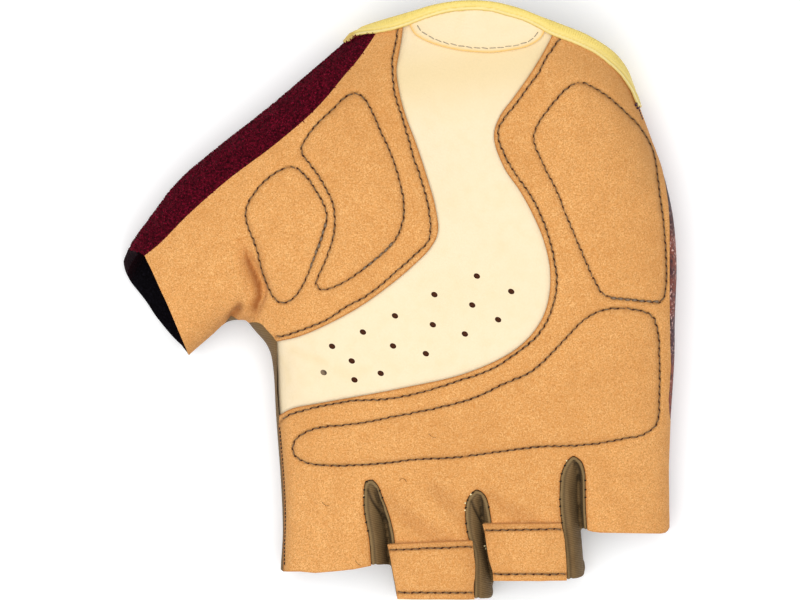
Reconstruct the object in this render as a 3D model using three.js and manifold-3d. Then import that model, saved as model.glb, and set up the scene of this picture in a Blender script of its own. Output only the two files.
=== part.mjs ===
// A fingerless cycling mitt for the right hand, lying on its back with the palm up.
// Millimetres, +Z up, fingers towards -Y and thumb towards -X. The origin is on the surface
// that the mitt lies on, under the middle of its outline.
import * as THREE from "three";
import { mergeVertices } from "three/addons/utils/BufferGeometryUtils.js";
import Module from "manifold-3d";

const wasm = await Module();
wasm.setup();

// Driving dimensions.
const WALL = 1.6; // suede, stretch cloth and terry alike
const GAP = 0.3; // kept between two pieces
const LAYER = 1.1; // a patch or tab sewn on top
const LINING = 1.0;
const PAD = 2.4; // foam behind the suede
const PAD_CLEAR = 0.45;
const BINDING_SWELL = 0.9;
const PARTING = 11.5; // height at which the palm pieces end and the back begins
const CUT = { low: 5, high: 17, points: 36 }; // an edge leaves the back's line for the palm's
const SINK = 2.4; // how far the round underside would reach below the table, flattened away
const BULK = 0.44; // height of the widest place, as a share of the thickness
const SQUARE = 2.5; // exponent of the section: 2 is an ellipse
const SLIT = 0.35; // half the space between two fingers where they nearly touch
const RIM = 1.4; // the sides of that space start to round over this far below the palm's surface
const FINENESS = 0.05; // points closer to the flat than this are left out
const HIGH = 60; // above everything
const HOLE = { radius: 1.05, sides: 8 };
const STEP = 4.5; // spacing of the points of a curved outline

// The hand, section by section from beyond the cuff to beyond the fingertips.
const handSections = [
  { y: 90, left: -4, right: 50, top: 26.5 },
  { y: 76, left: -8, right: 56.5, top: 28 },
  { y: 66, left: -15.2, right: 57.5, top: 29.5 },
  { y: 55, left: -25, right: 60.6, top: 30.5 },
  { y: 44, left: -34, right: 64.6, top: 31.5 },
  { y: 34, left: -40, right: 68.2, top: 32.5 },
  { y: 22, left: -44, right: 71, top: 33 },
  { y: 10, left: -45, right: 72, top: 32.5 },
  { y: -1, left: -42.5, right: 71.7, top: 32 },
  { y: -7, left: -38.6, right: 71.5, top: 31.5 },
  { y: -12, left: -34.5, right: 71.5, top: 31 },
  { y: -18, left: -33, right: 71.3, top: 30 },
  { y: -32, left: -32.2, right: 70.4, top: 28 },
  { y: -46, left: -31.15, right: 70, top: 25.5 },
  { y: -60, left: -30.6, right: 70.2, top: 24 },
  { y: -72, left: -31.2, right: 70, top: 23.5 },
  { y: -92, left: -31.2, right: 70, top: 23 },
];

// The thumb, each section from its outer side to the side next to the index finger.
const thumbSections = [
  { outerX: -8.5, outerY: 72, innerX: -14, innerY: -4, top: 29 },
  { outerX: -19.5, outerY: 62.4, innerX: -25, innerY: -5, top: 29.5 },
  { outerX: -34.3, outerY: 49.9, innerX: -34, innerY: -5.5, top: 28.5 },
  { outerX: -46.4, outerY: 40.4, innerX: -40.5, innerY: -5.2, top: 27 },
  { outerX: -57.2, outerY: 31.2, innerX: -45, innerY: -5.8, top: 25.5 },
  { outerX: -64.9, outerY: 21.5, innerX: -49, innerY: -9.2, top: 24 },
  { outerX: -72.2, outerY: 11, innerX: -54.4, innerY: -13.9, top: 22.5 },
  { outerX: -81, outerY: -4, innerX: -63, innerY: -22, top: 22 },
];

// Dents and folds of the palm side: a valley along a line, with its depth and half width.
const folds = [
  { from: [-40.8, 19], to: [-37, -5], depth: 2, width: 4 },
  { from: [-43.5, -5], to: [-40.5, -1], depth: 1.4, width: 2.2 },
  { from: [-7, -50], to: [-2, -92], depth: 2.8, width: 5 },
  { from: [20.5, -52], to: [25.5, -92], depth: 2.8, width: 5 },
  { from: [45.5, -45], to: [48.5, -92], depth: 2.8, width: 5 },
  { from: [12, 62], to: [22, 6], depth: 1.5, width: 13 },
];

// The slot in the palm suede between two fingers: its two edges, where the fingers nearly
// touch, and the height of the slot's bottom there.
const fingerGaps = {
  index_middle: [
    { y: -46.7, left: -7.7, right: -7.2, slit: -7.4, depth: 21.5 },
    { y: -47.2, left: -8.9, right: -6.6, slit: -7.1, depth: 20.8 },
    { y: -48.5, left: -9.25, right: -5.6, slit: -6.4, depth: 20 },
    { y: -51, left: -9.4, right: -4.65, slit: -5.4, depth: 18.5 },
    { y: -54, left: -9.35, right: -3.5, slit: -4.5, depth: 15.5 },
    { y: -57.5, left: -8.85, right: -2.4, slit: -3.5, depth: 11.5 },
    { y: -62, left: -8, right: -1.5, slit: -2.8, depth: 9 },
    { y: -69, left: -7.4, right: -1.1, slit: -2.4, depth: 9 },
    { y: -74, left: -7, right: -0.5, slit: -1.4, depth: 9 },
    { y: -78, left: -6.8, right: 0.1, slit: -0.85, depth: 9 },
    { y: -92, left: -6.4, right: 0.4, slit: -0.5, depth: 9 },
  ],
  middle_ring: [
    { y: -49.3, left: 19.7, right: 20.2, slit: 20, depth: 21.5 },
    { y: -49.9, left: 18.9, right: 21.2, slit: 20.3, depth: 21 },
    { y: -51.2, left: 17.8, right: 22.3, slit: 20.8, depth: 20.2 },
    { y: -53.5, left: 17.05, right: 23, slit: 21.2, depth: 18 },
    { y: -57, left: 17, right: 23.6, slit: 21.8, depth: 13.5 },
    { y: -61.5, left: 17.7, right: 24.2, slit: 22.4, depth: 9.5 },
    { y: -66, left: 19.2, right: 24.6, slit: 23, depth: 9 },
    { y: -73, left: 19.3, right: 25.4, slit: 24.2, depth: 9 },
    { y: -92, left: 19, right: 27, slit: 25.6, depth: 9 },
  ],
  ring_little: [
    { y: -40.6, left: 44.8, right: 45.2, slit: 45, depth: 21.5 },
    { y: -41.2, left: 44, right: 46.2, slit: 45.4, depth: 21 },
    { y: -42.4, left: 43, right: 47.3, slit: 45.8, depth: 20 },
    { y: -45, left: 41.9, right: 48, slit: 46.3, depth: 17 },
    { y: -48, left: 41.55, right: 48.1, slit: 46.5, depth: 12 },
    { y: -53, left: 41.5, right: 48.15, slit: 46.7, depth: 9.5 },
    { y: -59, left: 42.1, right: 48.5, slit: 47.2, depth: 9 },
    { y: -66, left: 43, right: 49.2, slit: 47.8, depth: 9 },
    { y: -92, left: 44, right: 51, slit: 50, depth: 9 },
  ],
};
const UNDERSIDE_GAP = { spread: 3.2, height: 11.5, first: 3 };

// Outlines as seen from above the palm, each [x, y].
const cuffLine = [
  [-18, 73.6], [-15, 71.1], [-13.5, 69.9], [-12.7, 69.6], [-12, 70], [-10, 71], [-8, 71.7],
  [-4, 72.9], [0, 74.05], [4, 75.2], [8, 76.4], [12, 77.2], [16, 77.65], [20, 77.7],
  [24, 77.35], [28, 76.5], [32, 75.3], [36, 73.7], [40, 72.2], [44, 70.7], [48, 69.1],
  [52, 66.9], [54, 65.6], [56, 64], [58, 61.7], [59.4, 59.5], [60.4, 57.3], [61.1, 55.3],
  [61.7, 53.6], [63.6, 54.1], [70, 56.4],
];
const cuffSeam = [
  [-20, 71.6], [-16.2, 68.5], [-15, 67.4], [-14.2, 66.9], [-13.3, 67.2], [-12.7, 67.7],
  [-12, 68.3], [-11, 68.7], [-8.5, 69.05], [-6.2, 69.25], [-2, 70], [0, 70.6], [2, 71.2],
  [4, 72], [8, 73.4], [12, 74.5], [16, 75], [20, 75.1], [24, 74.7], [28, 73.6], [32, 72.4],
  [36, 70.5], [38, 69.3], [40, 68.4], [44, 66.9], [48, 65.2], [50, 64.2], [52, 62.9],
  [54, 61.3], [56, 59.6], [57.5, 58], [58.6, 56.5], [59.6, 55], [60.4, 53.5], [61, 52],
  [61.5, 51], [62.1, 50.1], [63.8, 50.6], [70, 53],
];
const cuffLineOfBack = [
  [-18, 73.6], [-15, 71.1], [-13.3, 69.6], [-12.2, 68.6], [-10.5, 68], [-8, 68.2], [-2, 69.4],
  [12, 70.2], [28, 69], [44, 65.4], [54, 60.4], [59.2, 56], [61, 54.2], [61.8, 53.6],
  [63.6, 54.1], [70, 56.4],
];
const cuffSeamOfBack = [
  [-20, 71.6], [-16.2, 68.5], [-15, 67.3], [-14, 66.2], [-12.4, 65.2], [-9, 65.4], [-2, 66.6],
  [12, 67.4], [28, 66.2], [44, 62.6], [52.6, 57.8], [57.8, 53.4], [60.6, 51.2], [62.2, 50.1],
  [63.8, 50.6], [70, 53],
];
const fingerEnds = [
  [-40, -70.2], [-31.2, -70], [-30.3, -70.6], [-26, -70.55], [-22, -70.9], [-16, -70.35],
  [-12, -69.9], [-9, -69.3], [-7, -68.9], [-4, -68.8], [-2.4, -69], [-2, -71.5], [-1.4, -74.5],
  [-1.05, -77.5], [2, -77.6], [23.4, -77.6], [24.1, -77.1], [24.4, -76],
  [24.4, -72.9], [43.4, -72.65], [46, -72.35], [47.5, -71.95], [48.15, -71.2], [48.3, -70],
  [47.7, -64], [47.2, -59.3], [48.5, -59.75], [50, -60.15], [52, -60.4], [67.8, -60.7],
  [69, -60.5], [69.7, -59.9], [70.2, -59], [80, -58],
];
const channelOuterEdge = [
  [41.5, 74], [38.7, 67.1], [34.2, 59.3], [29.8, 53], [25.6, 47.1], [24.3, 42.2], [26.9, 34.3],
  [31.1, 28.1], [34.5, 21.8], [37.1, 15.6], [38.8, 8], [38.4, 0], [36, -6.2], [30.3, -12.5],
  [17.8, -18.7], [-1, -23.1], [-20, -26.6], [-28.4, -28.3], [-31.4, -30],
];
const channelInnerEdge = [
  [-31.9, -10.8], [-25.9, -9.4], [-12.6, -3.1], [-3.5, 3.1], [3.8, 9.2], [8, 13.6],
  [9.8, 17.4], [9.2, 24], [7.2, 31.2], [4.3, 40.2], [1.8, 46.8], [0, 53], [-0.9, 59.3],
  [-0.4, 63], [0.4, 67.5], [0.8, 71], [1.2, 76],
];
const channelFingerSide = [[-31.2, -24], [-31.4, -17]];
const indexSide = [
  [-31.6, -33], [-31.2, -37.4], [-30.4, -48], [-30.1, -56], [-30.3, -64], [-30.7, -92],
];
const littleSide = [
  [78, -92], [78, -38], [70.6, -33], [70, -29], [69.8, -26], [70.1, -22], [70.4, -17],
  [70.2, -12], [70.1, -6], [70, 2], [70, 12], [70, 20], [69.7, 25], [69, 30], [68.1, 34.5],
  [67.6, 36.5], [74, 44], [78, 80],
];
const terryEdge = [
  [-3, 76], [-6.2, 69.3], [-8.6, 65.6], [-11.5, 61.6], [-13.7, 59.1], [-21.5, 49.9],
  [-32.1, 40.6], [-44.6, 31.2], [-55.3, 21.8], [-61.8, 15.2], [-64, 13.3], [-66.3, 11.5],
  [-80, -1],
];
const thumbCrotch = [
  [-62, -30], [-52, -14.5], [-46.7, -7.5], [-44.6, -4.9], [-43.9, -4.1], [-43.2, -4.4],
  [-42, -5.3], [-40, -6.05], [-38.5, -5.8], [-37.2, -5.8], [-36.3, -6.1], [-35.6, -6.6],
  [-35, -7.3], [-34, -8.4], [-33, -9.4], [-32.5, -10.2],
];
const terryBackEdge = [[-30, -10], [-29, 8], [-22, 32], [-10, 54], [-2, 78]];
const thumbMouthOfPalm = [
  [-90, 18.5], [-71, 13.4], [-68, 12.6], [-66.4, 11.6], [-65.8, 10.4], [-65, 8.9],
  [-64.2, 7.2], [-63.2, 5], [-62, 2.3], [-60.9, 0], [-60, -2], [-59, -4.4], [-58, -6.8],
  [-57, -9.2], [-56, -11.6], [-55.3, -13.2], [-50, -24],
];
const thumbMouthOfBack = [
  [-90, 20], [-71.6, 13], [-72.05, 10.5], [-71.7, 8], [-71, 6.3], [-70, 4.5], [-68, 2],
  [-66, -0.6], [-64, -3.7], [-62, -6.3], [-60, -8.7], [-58, -10.8], [-56, -12.6], [-50, -19],
];
const heelPatch = [
  [1.6, 75], [2.6, 71], [3.7, 69], [5, 68], [8, 66.6], [12, 65.4], [16, 64.6], [20, 64.2],
  [24, 64.1], [28, 64.6], [32, 65.4], [34.5, 66.4], [36.6, 68], [37.5, 70], [38, 77],
];
const pads = {
  thumb_pad: [
    [-28.3, 34.5], [-24.3, 31.6], [-20, 25], [-18.9, 20.6], [-21.1, 13.9], [-24.8, 5.6],
    [-29.3, -0.6], [-32.5, -0.2], [-34.7, 5.8], [-38.2, 16.4], [-40.2, 21],
    [-39, 26], [-34.6, 31],
  ],
  thenar_pad: [
    [-11.9, 53.6], [-7.5, 49.5], [-2.8, 39], [0.7, 27], [1.1, 20.5], [-4.6, 12.3],
    [-13.2, 6], [-20.5, 2.9], [-21.5, 4.6], [-18.4, 13], [-16.9, 21.5], [-19.4, 29],
    [-23.6, 35.8], [-25.7, 39.1], [-20.9, 46.4], [-14.8, 52.4],
  ],
  heel_pad: [
    [34.9, 41.5], [38.4, 49], [43, 54.2], [46.4, 56.2], [52.3, 53.7], [58.5, 48.6],
    [63.2, 42.5], [66.6, 33.8], [68.2, 22], [68.6, 11], [68, -0.1], [64, 0.1], [54.3, 0.6],
    [52, 1.9], [48.6, 8.5], [41, 26],
  ],
  knuckle_pad: [
    [-27.8, -40], [-26.6, -36], [-17.5, -32.7], [1.5, -29.7], [20.5, -25], [33.7, -18.7],
    [43.9, -9.3], [48.4, -4.6], [55, -2.4], [62.5, -3.2], [66.4, -6.4], [67.3, -14],
    [67.2, -28], [65.4, -33.4], [58.4, -35.6], [36.6, -38.1], [14.7, -41], [-11, -42.8],
    [-23.7, -42.3],
  ],
};
const pullTabs = {
  pull_tab_middle: [[-3.1, -63.7], [18.9, -62.4], [19.1, -77.5], [-0.8, -77.5]],
  pull_tab_ring: [[21.7, -58.5], [42, -58.1], [43.2, -72.8], [24.5, -72.8]],
};
const TAB_ARCH = 1.8; // how far a tab stands off the finger between its two seams
const TAB_CLEAR = 0.45;
const ventHoles = [
  [19.9, 6.2], [28.8, 2.2], [8.9, 1.4], [18.7, -1.3], [25.4, -5.1], [-1.3, -4.1],
  [8.5, -6.4], [16.8, -8.8], [-9.6, -8.3], [-1.8, -11.9], [6.7, -13.9], [-17.6, -12],
  [-12.5, -15.8], [-5, -19], [-19.8, -18.8], [-11.8, -20.7],
];

const OUTWARDS = 95; // far beyond the outline, to either side
const colours = {
  suede: 0xdfa05f,
  stretch: 0xfdecc4,
  terry: 0x5a1029,
  lining: 0x17141c,
  twill: 0x6f6045,
  print: 0x3d2233,
  binding: 0xf6e07a,
  foam: 0xe9e4d4,
};

// A closed mesh made into a solid for cutting and joining.
function solid(geometry) {
  const bare = new THREE.BufferGeometry();
  bare.setAttribute("position", geometry.getAttribute("position"));
  bare.setIndex(geometry.index);
  const merged = mergeVertices(bare, 1e-4);
  return new wasm.Manifold(
    new wasm.Mesh({
      numProp: 3,
      vertProperties: new Float32Array(merged.getAttribute("position").array),
      triVerts: new Uint32Array(merged.index.array),
    }),
  );
}

// A closed skin over a row of rings that all have the same number of points: the side wall
// and the two ends of a cylinder, moved onto the rings.
function loft(rings) {
  const around = rings[0].length;
  const geometry = new THREE.CylinderGeometry(1, 1, 1, around, rings.length - 1);
  const position = geometry.getAttribute("position");
  for (let i = 0; i < position.count; i += 1) {
    const x = position.getX(i);
    const z = position.getZ(i);
    const ring = rings[Math.round((0.5 - position.getY(i)) * (rings.length - 1))];
    const turn = Math.atan2(x, z) / (2 * Math.PI);
    const place = ring[(Math.round(turn * around) + around) % around];
    const middle = new THREE.Vector3();
    ring.forEach((p) => middle.addScaledVector(p, 1 / around));
    const to = Math.hypot(x, z) < 0.5 ? middle : place;
    position.setXYZ(i, to.x, to.y, to.z);
  }
  const made = solid(geometry);
  return made.volume() < 0 ? solid(flipped(geometry)) : made;
}

function flipped(geometry) {
  const index = Array.from(geometry.index.array).reverse();
  return geometry.clone().setIndex(index);
}

// A straight-sided solid over an outline seen from above.
function prism(points, low, high) {
  const shape = new THREE.Shape(points.map(([x, y]) => new THREE.Vector2(x, y)));
  const geometry = new THREE.ExtrudeGeometry(shape, { depth: high - low, bevelEnabled: false });
  return solid(mergeVertices(geometry.translate(0, 0, low)));
}

// A smooth curve through points, as closely spaced points.
function smooth(points, closed = false) {
  const curve = new THREE.CatmullRomCurve3(
    points.map(([x, y]) => new THREE.Vector3(x, y, 0)), closed, "centripetal",
  );
  const count = Math.max(2, Math.round(curve.getLength() / STEP));
  const spaced = curve.getSpacedPoints(count).map((p) => [p.x, p.y]);
  return closed ? spaced.slice(0, -1) : spaced;
}

// An outline moved inwards by a distance, or outwards if that is negative.
const SHARPEST = 0.35;
function inset(points, distance) {
  const side = Math.sign(THREE.ShapeUtils.area(points.map(([x, y]) => ({ x, y }))));
  const normals = points.map(([x, y], i) => {
    const [nextX, nextY] = points[(i + 1) % points.length];
    return new THREE.Vector2(y - nextY, nextX - x).normalize();
  });
  return points.map(([x, y], i) => {
    const before = normals[(i + points.length - 1) % points.length];
    const both = before.clone().add(normals[i]).multiplyScalar(0.5);
    const cosine = Math.max(both.length(), SHARPEST);
    both.normalize().multiplyScalar((side * distance) / cosine);
    return [x + both.x, y + both.y];
  });
}

function distanceToLine(x, y, [ax, ay], [bx, by]) {
  const along = ((x - ax) * (bx - ax) + (y - ay) * (by - ay)) / ((bx - ax) ** 2 + (by - ay) ** 2);
  const t = THREE.MathUtils.clamp(along, 0, 1);
  return Math.hypot(x - ax - t * (bx - ax), y - ay - t * (by - ay));
}

// How far the palm surface dips at a place.
function foldDepth(x, y) {
  return folds.reduce((sum, fold) => {
    const away = distanceToLine(x, y, fold.from, fold.to) / fold.width;
    return sum + fold.depth * Math.exp(-away * away);
  }, 0);
}

// Height of the palm's surface at a place: the upper half of the section there.
function palmHeight(x, y) {
  const next = handSections.findIndex((row) => row.y <= y);
  const [a, b] = [handSections[next - 1], handSections[next]];
  const at = (column) => THREE.MathUtils.mapLinear(y, a.y, b.y, a[column], b[column]);
  const side = (2 * x - at("left") - at("right")) / (at("right") - at("left"));
  const rise = (1 - Math.abs(side) ** SQUARE) ** (1 / SQUARE);
  return at("top") * (BULK + (1 - BULK) * rise) - foldDepth(x, y) * rise;
}

// One section across the mitt: round above, flattened where it rests. The form is the same
// for the outside, and for the inside with an inset.
const RING = { above: 20, below: 8 };
function section(from, to, top, shift, raise) {
  const across = new THREE.Vector3().subVectors(to, from);
  const middle = new THREE.Vector3().addVectors(from, to).multiplyScalar(0.5);
  const half = across.length() / 2 - shift;
  across.normalize();
  const waist = top * BULK;
  const points = [];
  for (let i = 0; i < RING.above + RING.below; i += 1) {
    const upper = i < RING.above;
    const turn = upper
      ? (Math.PI * i) / RING.above
      : Math.PI * (1 + (i - RING.above) / RING.below);
    const cos = Math.cos(turn);
    const sin = Math.sin(turn);
    const side = Math.sign(cos) * Math.abs(cos) ** (2 / SQUARE);
    const rise = Math.abs(sin) ** (2 / SQUARE);
    const point = middle.clone().addScaledVector(across, half * side);
    const dip = foldDepth(point.x, point.y) - raise(point.x, point.y);
    point.z = upper
      ? waist + (top - shift - dip - waist) * rise
      : Math.max(waist - (waist + SINK - shift) * rise, Math.max(shift, 0));
    points.push(point);
  }
  return points;
}

function rails(rows, place) {
  return new THREE.CatmullRomCurve3(rows.map(place), false, "catmullrom", 0.5);
}

const level = () => 0;
function handForm(shift, { raise = level, first = 0, last = 1, steps = 20 } = {}) {
  const left = rails(handSections, (r) => new THREE.Vector3(r.left, r.y, r.top));
  const right = rails(handSections, (r) => new THREE.Vector3(r.right, r.y, r.top));
  const rings = [];
  for (let i = 0; i <= steps; i += 1) {
    const t = first + ((last - first) * i) / steps;
    const from = right.getPoint(t);
    const to = left.getPoint(t);
    const top = from.z;
    rings.push(section(from.setZ(0), to.setZ(0), top, shift, raise));
  }
  return loft(rings);
}

function thumbForm(shift, steps = 10) {
  const outer = rails(thumbSections, (r) => new THREE.Vector3(r.outerX, r.outerY, r.top));
  const inner = rails(thumbSections, (r) => new THREE.Vector3(r.innerX, r.innerY, r.top));
  const rings = [];
  for (let i = 0; i <= steps; i += 1) {
    const from = inner.getPoint(i / steps);
    const to = outer.getPoint(i / steps);
    const top = from.z;
    rings.push(section(from.setZ(0), to.setZ(0), top, shift, level));
  }
  return loft(rings);
}

const mittForm = (shift) => handForm(shift).add(thumbForm(shift));

// The wedge between two fingers, open above: round shoulders down to a narrow slit. A second
// wedge, from below, meets it. Shrunk by the wall it is the free space, and at its own size it
// also holds the cloth on both sides.
const SHOULDER_STEPS = 4;
function wedgeRing(row, shrink, below) {
  const reach = below ? UNDERSIDE_GAP.spread : 0;
  const left = Math.min((below ? row.slit - reach : row.left) + shrink, row.slit - 0.1);
  const right = Math.max((below ? row.slit + reach : row.right) - shrink, row.slit + 0.1);
  const half = SLIT + WALL - shrink;
  const [edge, tip] = below
    ? [0, UNDERSIDE_GAP.height - shrink]
    : [palmHeight(row.slit, row.y) - RIM + shrink, row.depth + shrink];
  const far = below ? -HIGH : HIGH;
  const wall = (x, sideX) => {
    const points = [];
    for (let i = 0; i <= SHOULDER_STEPS; i += 1) {
      const turn = (Math.PI / 2) * (i / SHOULDER_STEPS);
      points.push([x + (sideX - x) * Math.sin(turn), tip + (edge - tip) * Math.cos(turn)]);
    }
    return points;
  };
  const leftWall = wall(left, Math.max(left, row.slit - half));
  const rightWall = wall(right, Math.min(right, row.slit + half)).reverse();
  return [[left, far], ...leftWall, ...rightWall, [right, far]].map(
    ([x, z]) => new THREE.Vector3(x, row.y - shrink, z),
  );
}
function wedges(rows, shrink) {
  const above = loft(rows.map((row) => wedgeRing(row, shrink, false)));
  const below = loft(rows.slice(UNDERSIDE_GAP.first).map((row) => wedgeRing(row, shrink, true)));
  return above.add(below);
}

// Regions to trim away: beyond the cuff, the fingertips and the mouth of the thumb. The palm
// and the back end on lines of their own, and round the sides the cut passes from one to the
// other.
const farFromCuff = [[OUTWARDS, 60], [OUTWARDS, 120], [-60, 120], [-60, 76]];
const farFromThumb = [[-OUTWARDS, -40]];
function evenly(points, count) {
  const curve = new THREE.CatmullRomCurve3(
    points.map(([x, y]) => new THREE.Vector3(x, y, 0)), false, "centripetal",
  );
  return curve.getSpacedPoints(count).map((p) => [p.x, p.y]);
}
const cutHeights = [-HIGH, CUT.low, 7.4, 9.8, 12.2, 14.6, CUT.high, HIGH];
function beyondLines(palm, back, grow, far) {
  const [upper, lower] = [palm, back].map((line) => inset([...evenly(line, CUT.points), ...far], -grow));
  const shape = new THREE.Shape(upper.map(([x, y]) => new THREE.Vector2(x, y)));
  const steps = cutHeights.length - 1;
  const geometry = new THREE.ExtrudeGeometry(shape, { depth: steps, steps, bevelEnabled: false });
  const position = geometry.getAttribute("position");
  for (let i = 0; i < position.count; i += 1) {
    const away = upper.map(([x, y]) => Math.hypot(x - position.getX(i), y - position.getY(i)));
    const nearest = away.indexOf(Math.min(...away));
    const z = cutHeights[Math.round(position.getZ(i))];
    const share = THREE.MathUtils.smoothstep(z, CUT.low, CUT.high);
    const [x, y] = upper[nearest].map((value, k) => share * value + (1 - share) * lower[nearest][k]);
    position.setXYZ(i, x, y, z);
  }
  return solid(geometry);
}
const beyondCuff = beyondLines(cuffLine, cuffLineOfBack, 0, farFromCuff);
const beyondSeam = (grow) => beyondLines(cuffSeam, cuffSeamOfBack, grow, farFromCuff);
const beyondThumb = (grow) => beyondLines(thumbMouthOfPalm, thumbMouthOfBack, grow, farFromThumb);
const beyondFingers = prism([...fingerEnds, [80, -120], [-40, -120]], -HIGH, HIGH);

const TERRY_SHORT = 0.6; // the lining shows beyond the terry at the mouth of the thumb
const outside = mittForm(0);
const inside = mittForm(WALL);
const gapRows = Object.values(fingerGaps);
const heldByGaps = gapRows.map((rows) => wedges(rows, -GAP)).reduce((a, b) => a.add(b));
const shell = outside
  .subtract(inside)
  .subtract(heldByGaps)
  .subtract(beyondSeam(GAP))
  .subtract(beyondFingers)
  .subtract(beyondThumb(TERRY_SHORT));

// Outlines of the palm pieces.
const channelOuter = smooth(channelOuterEdge);
const channelInner = smooth(channelInnerEdge);
const palmOutline = [...channelOuter, ...smooth(indexSide), ...littleSide];
const thumbOutline = [...channelInner, ...smooth(terryEdge), ...thumbCrotch];
const channelOutline = [...channelOuter, ...channelFingerSide, ...channelInner];
const palmOutlines = [palmOutline, thumbOutline, channelOutline];
const palmPiece = (outline) => shell.intersect(prism(inset(outline, GAP / 2), PARTING + GAP / 2, HIGH));
const palmSide = palmOutlines
  .map((outline) => prism(inset(outline, -GAP / 2), PARTING - GAP / 2, HIGH))
  .reduce((a, b) => a.add(b));

// Everything that is not a palm piece: the terry round the thumb, the olive side of the index
// finger and the printed back.
const rest = shell.subtract(palmSide);
const terryRegion = [...terryBackEdge, [-20, 90], [-OUTWARDS, 90], [-OUTWARDS, -40], [-50, -40]];
const gussetRegion = [
  [-50, -16], [-48.2, -8], [-46.4, -4.4], [-43.5, -2.6], [-38, -3], [-28, -8], [-24, -30],
  [-24, -80], [-40, -80], [-45, -30],
];
const GUSSET_LOW = 5; // the strip reaches down to here
const gussetPrism = (grow) => prism(inset(gussetRegion, -grow), GUSSET_LOW - grow, HIGH);
const thumbGusset = rest.intersect(gussetPrism(-GAP / 2));
const terry = rest
  .intersect(prism(inset(terryRegion, GAP / 2), -HIGH, HIGH))
  .subtract(gussetPrism(GAP / 2));
const back = rest
  .subtract(prism(inset(terryRegion, -GAP / 2), -HIGH, HIGH))
  .subtract(gussetPrism(GAP / 2));

// The largest body of a solid, without slivers that a cut may leave beside it.
function main(piece) {
  return piece.decompose().sort((a, b) => b.volume() - a.volume())[0];
}

const mitt = new THREE.Group();
function addPiece(name, piece, colour, roughness) {
  const mesh = main(piece).simplify(FINENESS).getMesh();
  const geometry = new THREE.BufferGeometry();
  geometry.setAttribute("position", new THREE.BufferAttribute(mesh.vertProperties, 3));
  geometry.setIndex(new THREE.BufferAttribute(mesh.triVerts, 1));
  geometry.computeVertexNormals();
  const material = new THREE.MeshStandardMaterial({ color: colour, roughness, metalness: 0 });
  const made = new THREE.Mesh(geometry, material);
  made.name = name;
  mitt.add(made);
}

function drilled(piece) {
  return ventHoles.reduce((cut, [x, y]) => {
    const pin = new THREE.CylinderGeometry(HOLE.radius, HOLE.radius, HIGH, HOLE.sides);
    return cut.subtract(solid(pin.rotateX(Math.PI / 2).translate(x, y, HIGH / 2 + PARTING)));
  }, piece);
}

addPiece("palm_suede", palmPiece(palmOutline), colours.suede, 0.9);
addPiece("thumb_suede", palmPiece(thumbOutline), colours.suede, 0.9);
addPiece("palm_channel", drilled(palmPiece(channelOutline)), colours.stretch, 0.8);
addPiece("thumb_terry", terry, colours.terry, 1);
addPiece("thumb_gusset", thumbGusset, colours.twill, 0.8);
addPiece("back_panel", back, colours.print, 0.7);

// The cloth between two fingers, folded round both sides of the gap.
for (const [name, rows] of Object.entries(fingerGaps)) {
  const cloth = wedges(rows, 0).subtract(wedges(rows, WALL)).intersect(outside);
  addPiece(`fourchette_${name}`, cloth.subtract(beyondFingers), colours.twill, 0.8);
}

// Black inside of the thumb's back, which shows at its mouth.
const liningRegion = [[-90, 30], [-58, 26], [-44, 10], [-44, -6], [-52, -30], [-90, -30]];
const lining = thumbForm(WALL + GAP)
  .subtract(thumbForm(WALL + GAP + LINING))
  .intersect(prism(liningRegion, -HIGH, PARTING + 2))
  .subtract(beyondThumb(0));
addPiece("thumb_lining", lining, colours.lining, 1);

// The elastic binding folded over the edge of the cuff.
const band = mittForm(-BINDING_SWELL)
  .subtract(mittForm(WALL + BINDING_SWELL))
  .intersect(beyondSeam(0))
  .subtract(beyondCuff);
addPiece("cuff_binding", band, colours.binding, 0.6);

// Sewn on top of the palm: the patch at the heel of the hand and the two pull tabs.
const raisedForm = (shift, raise) => handForm(shift, { raise, first: 0.5, last: 1, steps: 30 });
const patch = handForm(-GAP - LAYER)
  .subtract(handForm(-GAP))
  .intersect(prism(smooth(heelPatch), PARTING, HIGH))
  .subtract(beyondSeam(GAP));
addPiece("heel_patch", patch, colours.stretch, 0.8);
for (const [name, corners] of Object.entries(pullTabs)) {
  const [upperY, lowerY] = [corners[0][1], corners[3][1]];
  const arch = (x, y) => {
    const t = THREE.MathUtils.clamp((y - lowerY) / (upperY - lowerY), 0, 1);
    return TAB_ARCH * Math.sin(Math.PI * t);
  };
  const tab = raisedForm(-TAB_CLEAR - LAYER, arch)
    .subtract(raisedForm(-TAB_CLEAR, arch))
    .intersect(prism(corners, PARTING, HIGH));
  addPiece(name, tab, colours.suede, 0.9);
}

// Foam pads in their pockets behind the suede.
const padSpace = mittForm(WALL + PAD_CLEAR).subtract(mittForm(WALL + PAD_CLEAR + PAD));
for (const [name, outline] of Object.entries(pads)) {
  const pocket = prism(smooth(outline, true), PARTING, HIGH);
  addPiece(name, padSpace.intersect(pocket), colours.foam, 0.9);
}

export default mitt;
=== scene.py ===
import math
import random

import bmesh
import bpy
import numpy as np
from mathutils import Matrix, Vector, noise
from mathutils.bvhtree import BVHTree
from mathutils.kdtree import KDTree


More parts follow.
